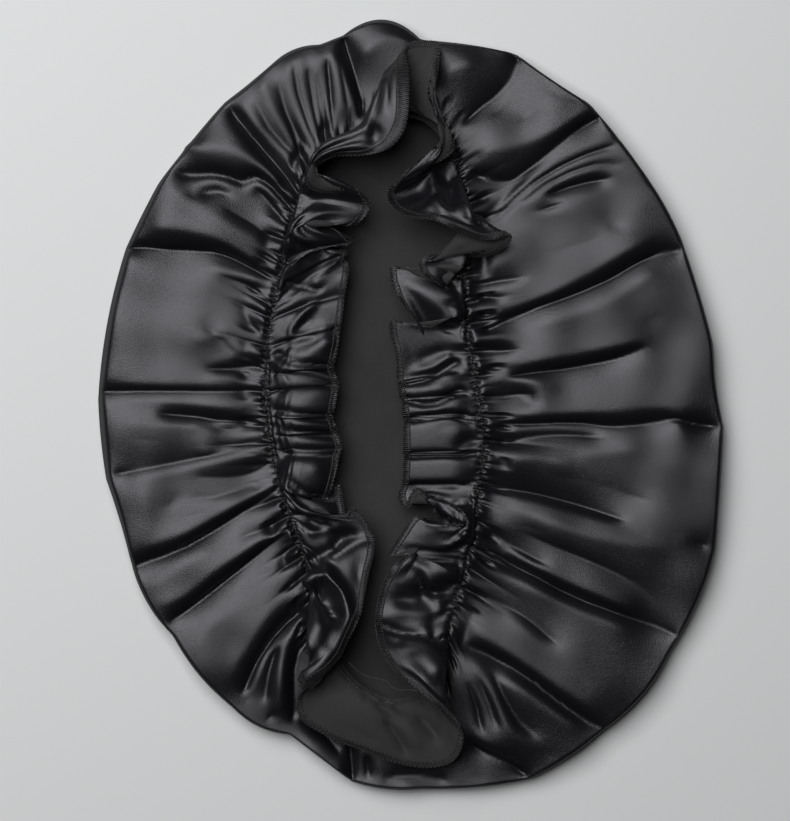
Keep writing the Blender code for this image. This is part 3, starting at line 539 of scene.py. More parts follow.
# What gathers the cloth beside the elastic: how many there are round it, how high they are and how
# far they reach. The dents lie a little way out, between the pleats.
PLEATS, PLEAT_RISE, PLEAT_REACH = 57, 1.8, 8.5
GATHERS, GATHER_RISE, GATHER_REACH = 107, 0.75, 4.0
PUCKERS, PUCKER_RISE, PUCKER_REACH = 220, 0.55, 1.9
DENTS, DENT_DEPTH, DENT_REACH, DENTS_OUT = 50, 1.7, 2.6, 8.5
GATHER_START = 2.5             # pleats and gathers have their full height so far from the elastic
SEAM_PUCKER, SEAM_GATHER = 0.45, 0.4       # how far the gather line itself wanders sideways
RIPPLES, RIPPLE_HEIGHT, RIPPLE_LENGTHS = 14, 0.10, (17, 45)     # faint waves over all the cloth
RIPPLE_START = 12
SETTLING_ROUNDS, DRAWN = 50, 0.2


def wandering(smooth):
    """A slow seeded wander round the bonnet, so that no two gathers are alike."""
    steps = np.fft.rfft(rng.normal(0, 1, COLUMNS))
    steps *= np.exp(-(np.arange(len(steps)) / smooth) ** 2)
    wander = np.fft.irfft(steps, COLUMNS)
    return wander / wander.std()


def phases(count, stray, smooth):
    """The phase of so many waves round the elastic, which stray from an even spacing."""
    return 2 * np.pi * count * station + stray * wandering(smooth)


def sizes(spread, smooth, least, most):
    """Sizes round the elastic, about 1."""
    return np.clip(1 + spread * wandering(smooth), least, most)


def pleated(phase):
    """Round pleats with a sharp valley at each whole turn, from -1 to 1."""
    return 2 * np.abs(np.sin(phase / 2)) ** 0.55 - 1


pleat_phase = phases(PLEATS, 1.5, 34)
gather_phase = phases(GATHERS, 1.2, 50)
pucker_phase = phases(PUCKERS, 0.8, 60)
pleat_size = sizes(0.45, 16, 0.2, 1.9)
pleat_reach = PLEAT_REACH * sizes(0.4, 18, 0.45, 1.9)
gather_size = sizes(0.4, 40, 0.2, 1.8)
pucker_size = sizes(0.3, 90, 0.4, 1.6)
dent_phase = phases(DENTS, 2.0, 30)


def gathers(near):
    """What the pleats, gathers and puckers add to the cloth's height, so near to the elastic."""
    def fading(reach):
        return np.exp(-(near / reach) ** 1.6)

    grow = np.clip(near / GATHER_START, 0, 1)
    pleats = (pleat_size * pleated(pleat_phase))[:, None]
    finer = (gather_size * pleated(gather_phase))[:, None]
    puckers = (pucker_size * np.sin(pucker_phase))[:, None]
    rise = PLEAT_RISE * pleats * grow * fading(pleat_reach[:, None])
    rise += GATHER_RISE * finer * grow * fading(GATHER_REACH)
    rise += PUCKER_RISE * puckers * fading(PUCKER_REACH)
    dent = np.clip(np.cos(dent_phase) - 0.2, 0, 1) * pleat_size
    return rise - DENT_DEPTH * dent[:, None] * np.exp(-((near - DENTS_OUT) / DENT_REACH) ** 2)


# the gather line itself: the cloth in fine puckers on top of the elastic
seam_in = SEAM_PUCKER * np.cos(pucker_phase) * pucker_size + SEAM_GATHER * np.cos(gather_phase)
seam_row = np.c_[elastic_loop.at(station) + elastic_loop.inward(station) * seam_in[:, None],
                 GATHER_HEIGHT + PUCKER_RISE * np.sin(pucker_phase) * pucker_size]
crown, crown_rise, near = crown_layout()
waves = rng.normal(0, 1, (RIPPLES, 2))
turns = 2 * np.pi / rng.uniform(*RIPPLE_LENGTHS, RIPPLES)
waves *= (turns / np.linalg.norm(waves, axis=1))[:, None]
ripple = sum(RIPPLE_HEIGHT * np.sin(crown[..., :2] @ wave + k) for k, wave in enumerate(waves))
relief = gathers(near) + ripple * crown_rise * np.clip(near / RIPPLE_START, 0, 1)
crown[..., 2] += relief * (near > 0)
crown[:, -1] = seam_row
free = free_cloth(COLUMNS, CROWN_ROWS)
relax(crown, free, *cut_lengths(crown), SETTLING_ROUNDS, SATIN_STIFFNESS,
      drawn=(DRAWN * free, crown_rise, relief))


def grid_faces(columns, rows, first, turned=False):
    """Quads of a closed grid whose points start at first, column by column."""
    i = np.arange(columns)[:, None]
    j = np.arange(rows - 1)[None]
    a, b = first + i * rows + j, first + (i + 1) % columns * rows + j
    quads = np.stack([a, b, b + 1, a + 1], -1).reshape(-1, 4)
    return (quads[:, ::-1] if turned else quads).tolist()


def row_of(first, rows, row=0):
    """Which point of such a grid lies in a row, by its column."""
    return lambda column: first + column * rows + row


def step_faces(fine, coarse, fine_of, coarse_of, turned=False):
    """Faces between a row of many points and a row of few, each face taking one step of the few."""
    share = fine // coarse
    faces = []
    for i in range(coarse):
        face = [coarse_of((i + 1) % coarse), coarse_of(i)]
        face += [fine_of((i * share + k) % fine) for k in range(share + 1)]
        faces.append(face[::-1] if turned else face)
    return faces


def grid_normals(place):
    """The way that the face of the cloth looks at each point of a closed grid."""
    around = np.roll(place, -1, 0) - np.roll(place, 1, 0)
    return unit(np.cross(around, np.gradient(place, axis=1)), 1e-12)


def add_mesh(name, points, parts, materials):
    """A smooth mesh in metres from points in millimetres. Each part is its faces and their slot."""
    faces = [face for part, _ in parts for face in part]
    slots = [slot for part, slot in parts for _ in part]
    mesh = bpy.data.meshes.new(name)
    mesh.from_pydata((np.asarray(points) * MM).tolist(), [], faces)
    mesh.polygons.foreach_set("use_smooth", [True] * len(mesh.polygons))
    mesh.polygons.foreach_set("material_index", slots)
    for material in materials:
        mesh.materials.append(material)
    mesh.validate()
    mesh.update()
    piece = bpy.data.objects.new(name, mesh)
    bpy.context.scene.collection.objects.link(piece)
    return piece


def node_group(name, inputs, outputs):
    """An empty shader node group with named inputs and outputs."""
    group = bpy.data.node_groups.new(name, "ShaderNodeTree")
    for label, value in inputs:
        socket = group.interface.new_socket(label, in_out="INPUT", socket_type="NodeSocketFloat")
        socket.default_value = value
    for label in outputs:
        group.interface.new_socket(label, in_out="OUTPUT", socket_type="NodeSocketFloat")
    return group, group.nodes.new("NodeGroupInput"), group.nodes.new("NodeGroupOutput")


def noise_in(group, where, scale, detail, drawn_out=(1, 1, 1), turn=0.0):
    """Noise in features per metre, drawn out along the axes of a frame turned about z."""
    place = group.nodes.new("ShaderNodeMapping")
    place.vector_type = "TEXTURE"
    place.inputs["Scale"].default_value = drawn_out
    place.inputs["Rotation"].default_value[2] = turn
    group.links.new(where, place.inputs["Vector"])
    noise = group.nodes.new("ShaderNodeTexNoise")
    noise.inputs["Detail"].default_value = detail
    group.links.new(place.outputs["Vector"], noise.inputs["Vector"])
    if isinstance(scale, float):
        noise.inputs["Scale"].default_value = scale
    else:
        group.links.new(scale, noise.inputs["Scale"])
    return noise.outputs["Fac"]


# the yarns of the cloth: a height that grains the surface, and a mask of uneven shine
YARN = (0.8, 1.6, 1.2)         # the grain is drawn out along the yarn
YARN_TURN = math.radians(-52)  # and the yarns lie askew, as the disc was laid down
SLUBS, SLUB = 1500.0, (1.0, 1.25, 1.0)     # coarser yarns: how many to the metre, and their shape
SHINE_PATCHES = 55.0           # to the metre
DULL_FROM, DULL_TO, DULLER = 0.45, 0.9, 0.5      # the shine dulls where the cloth is seen edge on
GRAIN_DEPTH = 0.0002           # in metres
cloth_group, given, result = node_group(
    "Cloth grain", (("Grain per Metre", 1500.0), ("Slub", 0.5)), ("Height", "Shine"))
coords = cloth_group.nodes.new("ShaderNodeTexCoord").outputs["Object"]
grain = noise_in(cloth_group, coords, given.outputs["Grain per Metre"], 1.0, YARN, YARN_TURN)
slub = noise_in(cloth_group, coords, SLUBS, 0.0, SLUB)
yarns = cloth_group.nodes.new("ShaderNodeMath")
yarns.operation = "MULTIPLY_ADD"
for value, socket in zip((slub, given.outputs["Slub"], grain), yarns.inputs):
    cloth_group.links.new(value, socket)
cloth_group.links.new(yarns.outputs[0], result.inputs["Height"])
cloth_group.links.new(noise_in(cloth_group, coords, SHINE_PATCHES, 2.0), result.inputs["Shine"])


def cloth_material(name, colour, roughness, spread, bump, grain_per_metre, slub, sheen, specular,
                   tint=(1, 1, 1, 1)):
    """Woven cloth: a plain dark dye, uneven shine that dulls edge on, and yarns that grain it."""
    made = bpy.data.materials.new(name)
    made.use_nodes = True
    nodes, links = made.node_tree.nodes, made.node_tree.links

    def ranged(value, low, high, to_low, to_high):
        """A value moved from one range to another."""
        node = nodes.new("ShaderNodeMapRange")
        limits = {"From Min": low, "From Max": high, "To Min": to_low, "To Max": to_high}
        for label, limit in limits.items():
            node.inputs[label].default_value = limit
        links.new(value, node.inputs["Value"])
        return node.outputs["Result"]

    shader = nodes["Principled BSDF"]
    shader.inputs["Sheen Weight"].default_value = sheen
    shader.inputs["Sheen Roughness"].default_value = 0.4
    shader.inputs["Specular IOR Level"].default_value = specular
    shader.inputs["Specular Tint"].default_value = tint
    effect = nodes.new("ShaderNodeGroup")
    effect.node_tree = cloth_group
    effect.inputs["Grain per Metre"].default_value = grain_per_metre
    effect.inputs["Slub"].default_value = slub
    shine = ranged(effect.outputs["Shine"], 0.3, 0.7, roughness - spread, roughness + spread)
    edge_on = nodes.new("ShaderNodeLayerWeight").outputs["Facing"]
    gloss = nodes.new("ShaderNodeMath")
    links.new(shine, gloss.inputs[0])
    links.new(ranged(edge_on, DULL_FROM, DULL_TO, 0.0, DULLER), gloss.inputs[1])
    links.new(gloss.outputs[0], shader.inputs["Roughness"])
    dye = nodes.new("ShaderNodeValToRGB")
    for element, position, shade in zip(dye.color_ramp.elements, (0.3, 0.75), (0.85, 1.2)):
        element.position = position
        element.color = [c * shade for c in colour] + [1]
    links.new(effect.outputs["Height"], dye.inputs["Fac"])
    links.new(dye.outputs["Color"], shader.inputs["Base Color"])
    relief = nodes.new("ShaderNodeBump")
    relief.inputs["Strength"].default_value = bump
    relief.inputs["Distance"].default_value = GRAIN_DEPTH
    links.new(effect.outputs["Height"], relief.inputs["Height"])
    links.new(relief.outputs["Normal"], shader.inputs["Normal"])
    return made


satin = cloth_material(
    "black_satin_face", (0.0038, 0.0037, 0.0052), roughness=0.35, spread=0.02, bump=0.5,
    grain_per_metre=3000.0, slub=0.0, sheen=0.0, specular=0.43, tint=(0.95, 0.94, 1.0, 1))
satin_back = cloth_material(
    "black_satin_wrong_side", (0.0175, 0.0175, 0.0187), roughness=0.82, spread=0.05, bump=0.4,
    grain_per_metre=2200.0, slub=0.4, sheen=0.1, specular=0.3)
FACE, WRONG_SIDE = 0, 1        # their slots

# the part that lies on the surface, from the outline in to the middle of the disc
BASE_COLUMNS = 330
BASE_ROWS = ((0.7, 0.85), (2.4, 0.30), (5.0, 0.12))      # how far in, and how high
BASE_WAYS = (0.12, 0.24, 0.38, 0.54, 0.72, 0.88)         # then the share of the way to the middle
BASE_LIFT, BASE_WAVE = 0.10, 0.45                        # and how high it lies and waves there
rim = crown[:, 0].copy()
base_rim = rim[::COLUMNS // BASE_COLUMNS, :2]
to_middle = -base_rim
rings = [np.c_[base_rim + unit(to_middle) * inset, np.full(BASE_COLUMNS, height)]
         for inset, height in BASE_ROWS]
base_turn = 2 * np.pi * np.arange(BASE_COLUMNS) / BASE_COLUMNS
for way in BASE_WAYS:
    wave = np.sin(3 * base_turn + 5 * way) * np.cos(2 * base_turn - 9 * way)
    lift = BASE_LIFT + BASE_WAVE * (1 + wave) * math.sin(math.pi * way)
    rings.append(np.c_[base_rim + to_middle * way, lift])
base = np.stack(rings, 1)

# the wrong side: it lies deeper under the folds than beside the elastic, and above the surface
INNER_COLUMNS = 660
SEAM_ROWS = 14                 # the rows beside the elastic
FOLD_DEPTH = 2.6               # times the thickness, under the folds
INSIDE_LOWEST = 1.2
RIM_INSIDE, BASE_INSIDE = 0.25, 0.35       # how far in from the outline it turns
BASE_GAP = SATIN_THICKNESS + 0.05          # from the face to the wrong side on the surface
seam_start = CROWN_ROWS - SEAM_ROWS
inner_rows = list(range(0, seam_start, 2)) + list(range(seam_start, CROWN_ROWS))
depth = SATIN_THICKNESS * np.where(np.arange(CROWN_ROWS) < seam_start, FOLD_DEPTH, 1.0)
crown_inside = crown - depth[None, :, None] * grid_normals(crown)
crown_inside = crown_inside[::COLUMNS // INNER_COLUMNS][:, inner_rows]
crown_inside[:, 0, :2] += RIM_INSIDE * unit(-rim[::COLUMNS // INNER_COLUMNS, :2])
crown_inside[..., 2] = np.maximum(crown_inside[..., 2], INSIDE_LOWEST)
base_inside = base + np.array([0, 0, BASE_GAP])
base_inside[:, 0, :2] += BASE_INSIDE * unit(to_middle)

grids = (crown, base, crown_inside, base_inside)
upper, lower, under, floor_in, hub = np.cumsum([0] + [grid[..., 0].size for grid in grids]).tolist()
base_rows, inside_rows = base.shape[1], len(inner_rows)
bag_points = np.concatenate([grid.reshape(-1, 3) for grid in grids]
                            + [[[0, 0, BASE_LIFT]], [[0, 0, BASE_LIFT + BASE_GAP]]])
rim_of, base_of = row_of(upper, CROWN_ROWS), row_of(lower, base_rows)
rim_inside_of, base_inside_of = row_of(under, inside_rows), row_of(floor_in, base_rows)
gathers_of = row_of(upper, CROWN_ROWS, CROWN_ROWS - 1)
gathers_inside_of = row_of(under, inside_rows, inside_rows - 1)
bag_parts = [
    (grid_faces(COLUMNS, CROWN_ROWS, upper), FACE),
    (grid_faces(BASE_COLUMNS, base_rows, lower, True), FACE),
    (grid_faces(INNER_COLUMNS, inside_rows, under, True), WRONG_SIDE),
    (grid_faces(BASE_COLUMNS, base_rows, floor_in), WRONG_SIDE),
    (step_faces(COLUMNS, BASE_COLUMNS, rim_of, base_of), FACE),
    (step_faces(INNER_COLUMNS, BASE_COLUMNS, rim_inside_of, base_inside_of, True), WRONG_SIDE),
    (step_faces(COLUMNS, INNER_COLUMNS, gathers_of, gathers_inside_of, True), WRONG_SIDE),
]
for side, (first, slot) in enumerate(((lower, FACE), (floor_in, WRONG_SIDE))):
    inmost = row_of(first, base_rows, base_rows - 1)
    fan = [[inmost(i), inmost((i + 1) % BASE_COLUMNS), hub + side] for i in range(BASE_COLUMNS)]
    bag_parts.append(([face[::-1] for face in fan] if slot == FACE else fan, slot))
bag = add_mesh("satin_crown", bag_points, bag_parts, (satin, satin_back))
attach(bag, "root")
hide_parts("crown")

# ---------------------------------------------------------------------------------------------
# Frill. The same satin beyond the elastic, 30 mm to its hem, gathered where it is sewn: it lies in
# soft pleats at both sides and stands in loops at the top and the foot, where its dull side shows.
FRILL_WIDTH = 30.0
FRILL_ROWS = 24
FRILL_THICKNESS = 0.18         # thin, so that the layers of a pleat lie clear of each other
FRILL_LOWEST = 5.0             # it lies on the bag, so it sinks no lower
# how freely it settles, by the station: little in the pleats at both sides, wholly in the loops
LOOSE_CLOTH = (
    (0, .15), (.055, .15), (.075, 1), (.445, 1), (.462, .15), (.580, .15), (.597, 1), (.963, 1),
    (.978, .15), (1, .15),
)

# The hem as it lies, from the middle of the right side and round by the top. Overlap is how far a
# pleat laps over its neighbours and swell how high it stands, up to the next row; most rows are
# plain and leave both out.
HEM_COLUMNS = ("x", "y", "z", "station", "overlap", "swell")
HEM = (
    (-3.2, -6, 9.6, 0.0225, 1.6, 3.5), (-4.2, 2.0, 9.6, 0.0425, 1.5, 3), (-5.6, 9.0, 9.8, 0.061),
    (-5.9, 20.2, 11, 0.071), (-8.4, 28.8, 12.5, 0.080), (-8.2, 33.7, 12.5, 0.086),
    (-3.6, 31.1, 10.5, 0.092), (3.6, 25.2, 9, 0.099), (5.6, 27.4, 9.5, 0.103),
    (2.8, 33.4, 11.5, 0.109), (-3, 40.3, 13.5, 0.115), (-7.6, 48.0, 14.5, 0.121),
    (-8.0, 55.3, 14, 0.127), (-1, 51, 12, 0.133), (7.4, 45.5, 10.5, 0.138), (13.5, 42.8, 11, 0.142),
    (16.4, 45.1, 12.5, 0.146), (11.9, 48.9, 15, 0.150), (5.6, 51.8, 17, 0.155),
    (3.2, 56.2, 18, 0.159), (6.8, 59.5, 17.5, 0.163), (16.5, 60.1, 17, 0.168),
    (29.2, 59.2, 18, 0.174), (38, 63, 22, 0.179), (40, 67.4, 25, 0.182), (31.5, 65.2, 26, 0.187),
    (22.3, 67.6, 27, 0.192), (8.5, 73.3, 28, 0.200), (-3.6, 75.6, 22, 0.207),
    (-9.6, 82.5, 18.5, 0.213), (-6.5, 88.8, 19.5, 0.218), (5, 94, 22, 0.225), (13.5, 98, 24, 0.231),
    (17.3, 102, 25, 0.235), (15.4, 106.5, 26, 0.239), (10.8, 112.5, 27, 0.244),
    (8.8, 120, 28, 0.250), (9.8, 129, 26.5, 0.256), (11.2, 138, 21, 0.262),
    (11.2, 144.6, 16, 0.267), (5, 145.4, 15, 0.272), (-0.8, 144.6, 16, 0.276),
    (-2.4, 140, 20, 0.280), (-1.1, 134, 25, 0.284), (-0.8, 124, 29, 0.290), (-1.2, 115, 30, 0.296),
    (-3, 108, 30, 0.302), (-7.5, 102.4, 30, 0.308), (-14, 99.6, 28.5, 0.314),
    (-22, 98.8, 26.5, 0.321), (-30, 98.8, 24, 0.329), (-36, 96.2, 22.5, 0.336),
    (-40, 92.4, 21, 0.344), (-41.2, 88, 19.5, 0.351), (-37, 85, 18.5, 0.358),
    (-28, 84.8, 18, 0.365), (-20, 84.2, 17.5, 0.371), (-16.4, 80.5, 16.5, 0.377),
    (-17.5, 76.5, 15.5, 0.382), (-22.5, 72, 14.5, 0.388), (-28, 74.2, 13.5, 0.394),
    (-35, 74.6, 13, 0.400), (-42, 72.6, 12.5, 0.406), (-45.5, 70.4, 12.3, 0.410),
    (-37, 69.6, 13, 0.415), (-29, 68.6, 13.5, 0.420), (-22.4, 65, 12.5, 0.426),
    (-29.5, 65.4, 12, 0.431), (-35.5, 64, 11.5, 0.434), (-39.5, 61.6, 11, 0.437),
    (-34, 60.2, 11.5, 0.440), (-29.5, 61.6, 12, 0.443), (-24.8, 61.2, 12, 0.447),
    (-27.5, 58.6, 10, 0.450), (-24.8, 55.5, 10.8, 0.454, 0, 1.5),
    (-26.5, 44, 10.5, 0.468, 0.6, 2.4), (-28.3, 29.8, 10, 0.490, 1.6, 4),
    (-30.5, 15.5, 9.6, 0.511, 1.4, 3), (-29, 7.6, 9.6, 0.523, 1.6, 3.5),
    (-31, -4.4, 9.6, 0.543, 1.4, 3), (-29.2, -11.5, 9.6, 0.556, 1.4, 2.5),
    (-28, -18.5, 9.6, 0.568, 1.6, 4), (-32.6, -36.6, 9.6, 0.594), (-29, -31.5, 10, 0.599),
    (-27, -41, 11.5, 0.604), (-25.6, -49.5, 12, 0.609), (-23.6, -41.2, 12.5, 0.614),
    (-18.7, -45.6, 13, 0.619), (-15.3, -52.2, 13.6, 0.625), (-14.8, -59, 14.4, 0.631),
    (-16.9, -67, 16, 0.638), (-18.7, -76.7, 18, 0.647), (-20.4, -84.5, 20.4, 0.656),
    (-25.3, -94.4, 23, 0.671), (-29.8, -102.2, 24.5, 0.686), (-38.5, -110, 24.5, 0.701),
    (-44.6, -116.4, 22, 0.712), (-45.4, -121.5, 19, 0.721), (-43, -126.3, 18, 0.729),
    (-37.6, -130, 18, 0.739), (-29.8, -134.2, 17.5, 0.751), (-19.8, -137.8, 17, 0.763),
    (-7.6, -142.6, 17, 0.778), (1.3, -144.6, 17, 0.789), (10.2, -144.6, 18, 0.800),
    (17, -142, 19.5, 0.811), (20.4, -136, 22, 0.820), (19.9, -130, 25, 0.828),
    (14.7, -124.4, 27.5, 0.836), (8, -117.8, 29, 0.844), (1.3, -112.2, 28, 0.851),
    (-7.0, -105.6, 24, 0.859), (-11.2, -99.5, 20, 0.866), (-13.7, -92, 17, 0.874),
    (-14, -83.3, 15, 0.882), (-12, -74.4, 14.5, 0.889), (-9.6, -69, 14, 0.894),
    (-3.1, -62.4, 13, 0.901), (3.6, -56.4, 12, 0.908), (-3, -59.2, 12.5, 0.913),
    (-9.2, -60.2, 13, 0.918), (-4, -52, 13.5, 0.924), (1.9, -44.6, 13.5, 0.930),
    (9, -49, 11, 0.935), (16.4, -54, 9.6, 0.940), (16.6, -51, 9.6, 0.944), (10, -41.5, 12, 0.949),
    (4.7, -34, 13.5, 0.954), (0.8, -34.4, 12, 0.958), (-2.6, -41.6, 11, 0.963),
    (-5.2, -36.4, 10.5, 0.967), (-3.4, -31, 9.8, 0.973, 1.4, 3.2),
    (-3, -19.5, 9.6, 0.998, 1.6, 3.5),
)

# The folds and hollows on the frill: how far the cloth stands up or sinks there, how wide, and the
# line of (across, along) that each follows as seen from above.
FRILL_FOLDS = (
    # right side: deep valleys between the soft pleats
    (-2.2, 1.1, (-2, 8.2), (5, 9.6), (10, 12.2), (18, 17)),
    (-2.2, 1.1, (-3, 2.2), (5, 0), (10, 0.4), (14, 2.5), (20, 5.5)),
    (-2.2, 1.1, (0, -6.3), (6, -5), (14, -4), (22, -4.4)),
    (-0.8, 0.8, (12, -8.6), (24, -8.1)),
    (-2.4, 1.0, (-1, -20.6), (10, -20), (26, -19.8)),
    (-2, 1.1, (1, -32.5), (18, -32.3)),
    (1.0, 2.2, (5, 5.5), (12, 6.5)),
    (0.8, 2.0, (4, -2.5), (12, -1.6)),
    (-1.2, 2.2, (22, -14), (25, -14)),
    (1.2, 1.4, (2, 13.5), (9, 15), (15, 19)),
    (-1.2, 1.8, (5, 18.5), (12, 21)),
    (-2.0, 1.3, (7, -36), (18, -39.5)),
    (-2.0, 1.2, (10, -44), (19, -49)),
    (1.6, 1.3, (8, -38), (14, -42.5), (20, -46.5)),
    # left side: broad pleats with waving edges
    (-1.8, 0.9, (-50, 48.7), (-36.7, 45.9)),
    (-2.8, 1.2, (-54, 20.3), (-45.6, 16.4), (-30, 14.2)),
    (-1.6, 1.2, (-50, 12), (-40, 10.9), (-30, 6.8)),
    (-2.4, 1.1, (-54, -2.4), (-46.7, -3.6), (-36.7, -5.2), (-31, -5)),
    (-1.8, 1.4, (-50, -11), (-40, -11.5), (-31, -12.4)),
    (-2.2, 1.6, (-50, -19.5), (-40, -20), (-30, -20.8)),
    (-2.4, 1.1, (-50, -30), (-42.2, -36.3), (-31, -38)),
    (1.6, 1.3, (-48, 29.8), (-43.3, 36.4), (-38.9, 39.8)),
    (1.0, 1.3, (-48, 27.8), (-40, 27), (-33, 25)),
    (-1.6, 2.4, (-45, 31), (-41, 33.5)),
    (1.6, 3.0, (-35, 29), (-34, 24)),
    (-1.0, 1.8, (-50, 23), (-43, 21.5)),
    (0.9, 1.2, (-47, -8.4), (-33, -7.8)),
    (0.7, 0.9, (-46, -15), (-32, -15.3)),
    (1.2, 3.0, (-38, -26), (-36, -31)),
    (1.4, 2.6, (-34, 54), (-38, 50)),
    (-1.4, 1.6, (-48, 57), (-36, 58.5)),
    # top: the flap that stands beside the lobe, and the wing that folds over at the right
    (-3.2, 2.6, (-14, 108), (-15, 105.5)),
    (-2.2, 3.2, (-6, 83.5), (3, 86)),
    (2.4, 1.9, (8.3, 91), (10, 82), (13, 76.5)),
    (-2.6, 2.3, (14.8, 90), (16.2, 81)),
    (2.4, 1.8, (19.5, 88), (22, 80), (24, 74)),
    (-1.5, 1.5, (26, 77), (29, 70)),
    (-1.2, 1.6, (22, 96), (24, 90)),
    # foot, left: a fold that stands along the hem, over a deep hollow at the gathers
    (5.0, 2.8, (-40, -71), (-33.5, -68), (-27.8, -76), (-25.4, -85), (-31, -97), (-41, -109)),
    (-4.5, 2.8, (-38, -75), (-32, -79), (-30, -84)),
    (2.6, 4.2, (-36, -89), (-38, -96)),
    (-2.4, 1.5, (-42, -63), (-32, -58), (-28, -53)),
    (1.5, 1.3, (-31, -61), (-22, -55.5), (-17.5, -54)),
    (-1.6, 1.4, (-30, -56.5), (-24, -52)),
    (-1.5, 2.6, (-21, -69), (-20.5, -64)),
    (-1.5, 1.3, (-40, -47), (-31, -46)),
    (1.4, 1.4, (-40, -51.5), (-30, -49)),
    # foot, right: two puffs with a sharp valley between them, and a hollow above
    (1.3, 2.4, (-8, -66.5), (0, -62.5), (5.4, -66.5), (9.3, -75), (11.3, -82)),
    (-2.2, 2.8, (2.5, -69), (5, -77)),
    (-1.2, 2.4, (-4, -78), (-1, -79)),
    (1.4, 3.5, (-6, -83), (6, -84)),
    (-2.8, 1.3, (-13, -88), (-4, -91), (4, -91), (12.5, -93.7)),
    (-1.2, 1.8, (-9, -93), (-6, -94.5)),
    (1.0, 1.0, (-2, -92), (-1.2, -97)),
    (1.2, 4.0, (4, -101), (8, -106)),
    # foot, the dull side: two soft folds
    (-3.4, 1.9, (-8.5, -128), (-5.5, -132.5), (-2.5, -138)),
    (-3.4, 1.9, (5, -126), (9.5, -132)),
    (1.2, 3.0, (-2, -128), (2, -134)),
    (-1.8, 2.0, (-34, -113), (-23, -108.5)),
)

# where the frill bellies out sideways: which way and how far, how wide, and the line as above
FRILL_BELLIES = (
    ((-7.5, 3, 1.5), 8.0, (-8, 111), (-5, 120), (-3, 130)),
    ((-2.5, 1.5, 4), 6.5, (-34, -83), (-35, -90), (-38, -97)),
    ((3.5, 1, 3.5), 6.5, (3, -96), (7, -104)),
)
HEM_STEPS = 40                 # from each row of the hem to the next


def hem_design(columns):
    """The hem line and what its pleats add to it, at each column."""
    table = named_columns(HEM_COLUMNS, [(row + (0, 0))[:len(HEM_COLUMNS)] for row in HEM])
    corners = np.stack([table["x"], table["y"], table["z"]], -1)
    first = table["station"]
    after = np.roll(first, -1)
    after[after < first] += 1
    step = np.arange(HEM_STEPS) / HEM_STEPS
    run = (first[:, None] + (after - first)[:, None] * step).ravel()
    run = np.r_[run - 1, run, run + 1]
    line = np.tile(smooth_loop(corners, HEM_STEPS), (3, 1))
    at = stations(columns)
    hem = np.stack([np.interp(at, run, line[:, k]) for k in range(3)], -1)
    part = (np.searchsorted(first, at, side="right") - 1) % len(first)
    share = ((at - first[part]) % 1.0) / (after - first)[part]
    chord = np.roll(corners, -1, 0) - corners
    size = np.linalg.norm(chord[:, :2], axis=1)
    lap = -table["overlap"][part] * size[part] / (2 * np.pi) * np.sin(2 * np.pi * share)
    pleat = np.zeros((columns, 3))
    pleat[:, :2] = (chord / size[:, None])[part, :2] * lap[:, None]
    pleat[:, 2] = table["swell"][part] * (1 - np.abs(2 * share - 1) ** 3)
    return hem, pleat


CLOSER_ROWS = 0.35             # how much closer the rows are at the seam than at the hem
LOWEST_PLEAT = 0.35            # a pleat laps over wholly from this share of the width
ARCH_ASIDE, ARCH_UP = 0.8, 0.75            # which way spare cloth arches
ARCH, LEAST_ARCH = 0.375, 0.01             # how far it arches for its length
STRETCH = 1.005                # the cloth gives a little where the hem lies too far out


def frill_layout(columns, rows, seam):
    """The frill before it settles: from seam to hem, arched where there is cloth to spare."""
    even = np.arange(rows) / (rows - 1)
    way = even - CLOSER_ROWS * even * (1 - even)
    hem, pleat = hem_design(columns)
    inward = elastic_loop.inward(stations(columns))
    chord = hem + pleat - seam
    size = np.linalg.norm(chord, axis=1)
    lean = np.einsum("ij,ij->i", chord[:, :2], inward) / FRILL_WIDTH
    spare = np.clip(FRILL_WIDTH - size, 0, None)
    arch = np.sqrt(ARCH * spare * size + LEAST_ARCH)
    aside = inward * (-ARCH_ASIDE * np.tanh(4 * lean))[:, None]
    push = unit(np.c_[aside, np.full(columns, ARCH_UP)])
    place = seam[:, None] + (hem - seam)[:, None] * way[None, :, None]
    flat = 1 - by_station(LOOSE_CLOTH, columns)[:, None]
    profile = (1 - flat) * 4 * way * (1 - way) + flat * 3.2 * way ** 1.6 * np.sqrt(1 - way)
    place += (push * arch[:, None])[:, None] * profile[..., None]
    fold = np.clip(way / LOWEST_PLEAT, 0, 1)
    place += pleat[:, None] * (fold * fold * (3 - 2 * fold))[None, :, None]
    return place, way, np.maximum(size * STRETCH, FRILL_WIDTH)


def resampled(grid, columns, rows_from, rows_to):
    """A grid with more columns round the bonnet, and with rows at other shares of its width."""
    grown = smooth_loop(grid.reshape(len(grid), -1), columns // len(grid))
    grown = grown.reshape((columns,) + grid.shape[1:])
    last = len(rows_from) - 1
    i = np.clip(np.searchsorted(rows_from, rows_to, side="right") - 1, 0, last - 1)
    t = ((rows_to - rows_from[i]) / (rows_from[i + 1] - rows_from[i]))[None, :, None]
    a, b = grown[:, i], grown[:, i + 1]
    before, after = grown[:, np.maximum(i - 1, 0)], grown[:, np.minimum(i + 2, last)]
    return a + 0.5 * t * (b - before + t * (2 * before - 5 * a + 4 * b - after
                                            + t * (3 * (a - b) + after - before)))


def evened(grid, rounds=1):
    """A grid with each column drawn towards its neighbours."""
    for _ in range(rounds):
        grid = 0.25 * (np.roll(grid, 1, 0) + 2 * grid + np.roll(grid, -1, 0))
    return grid


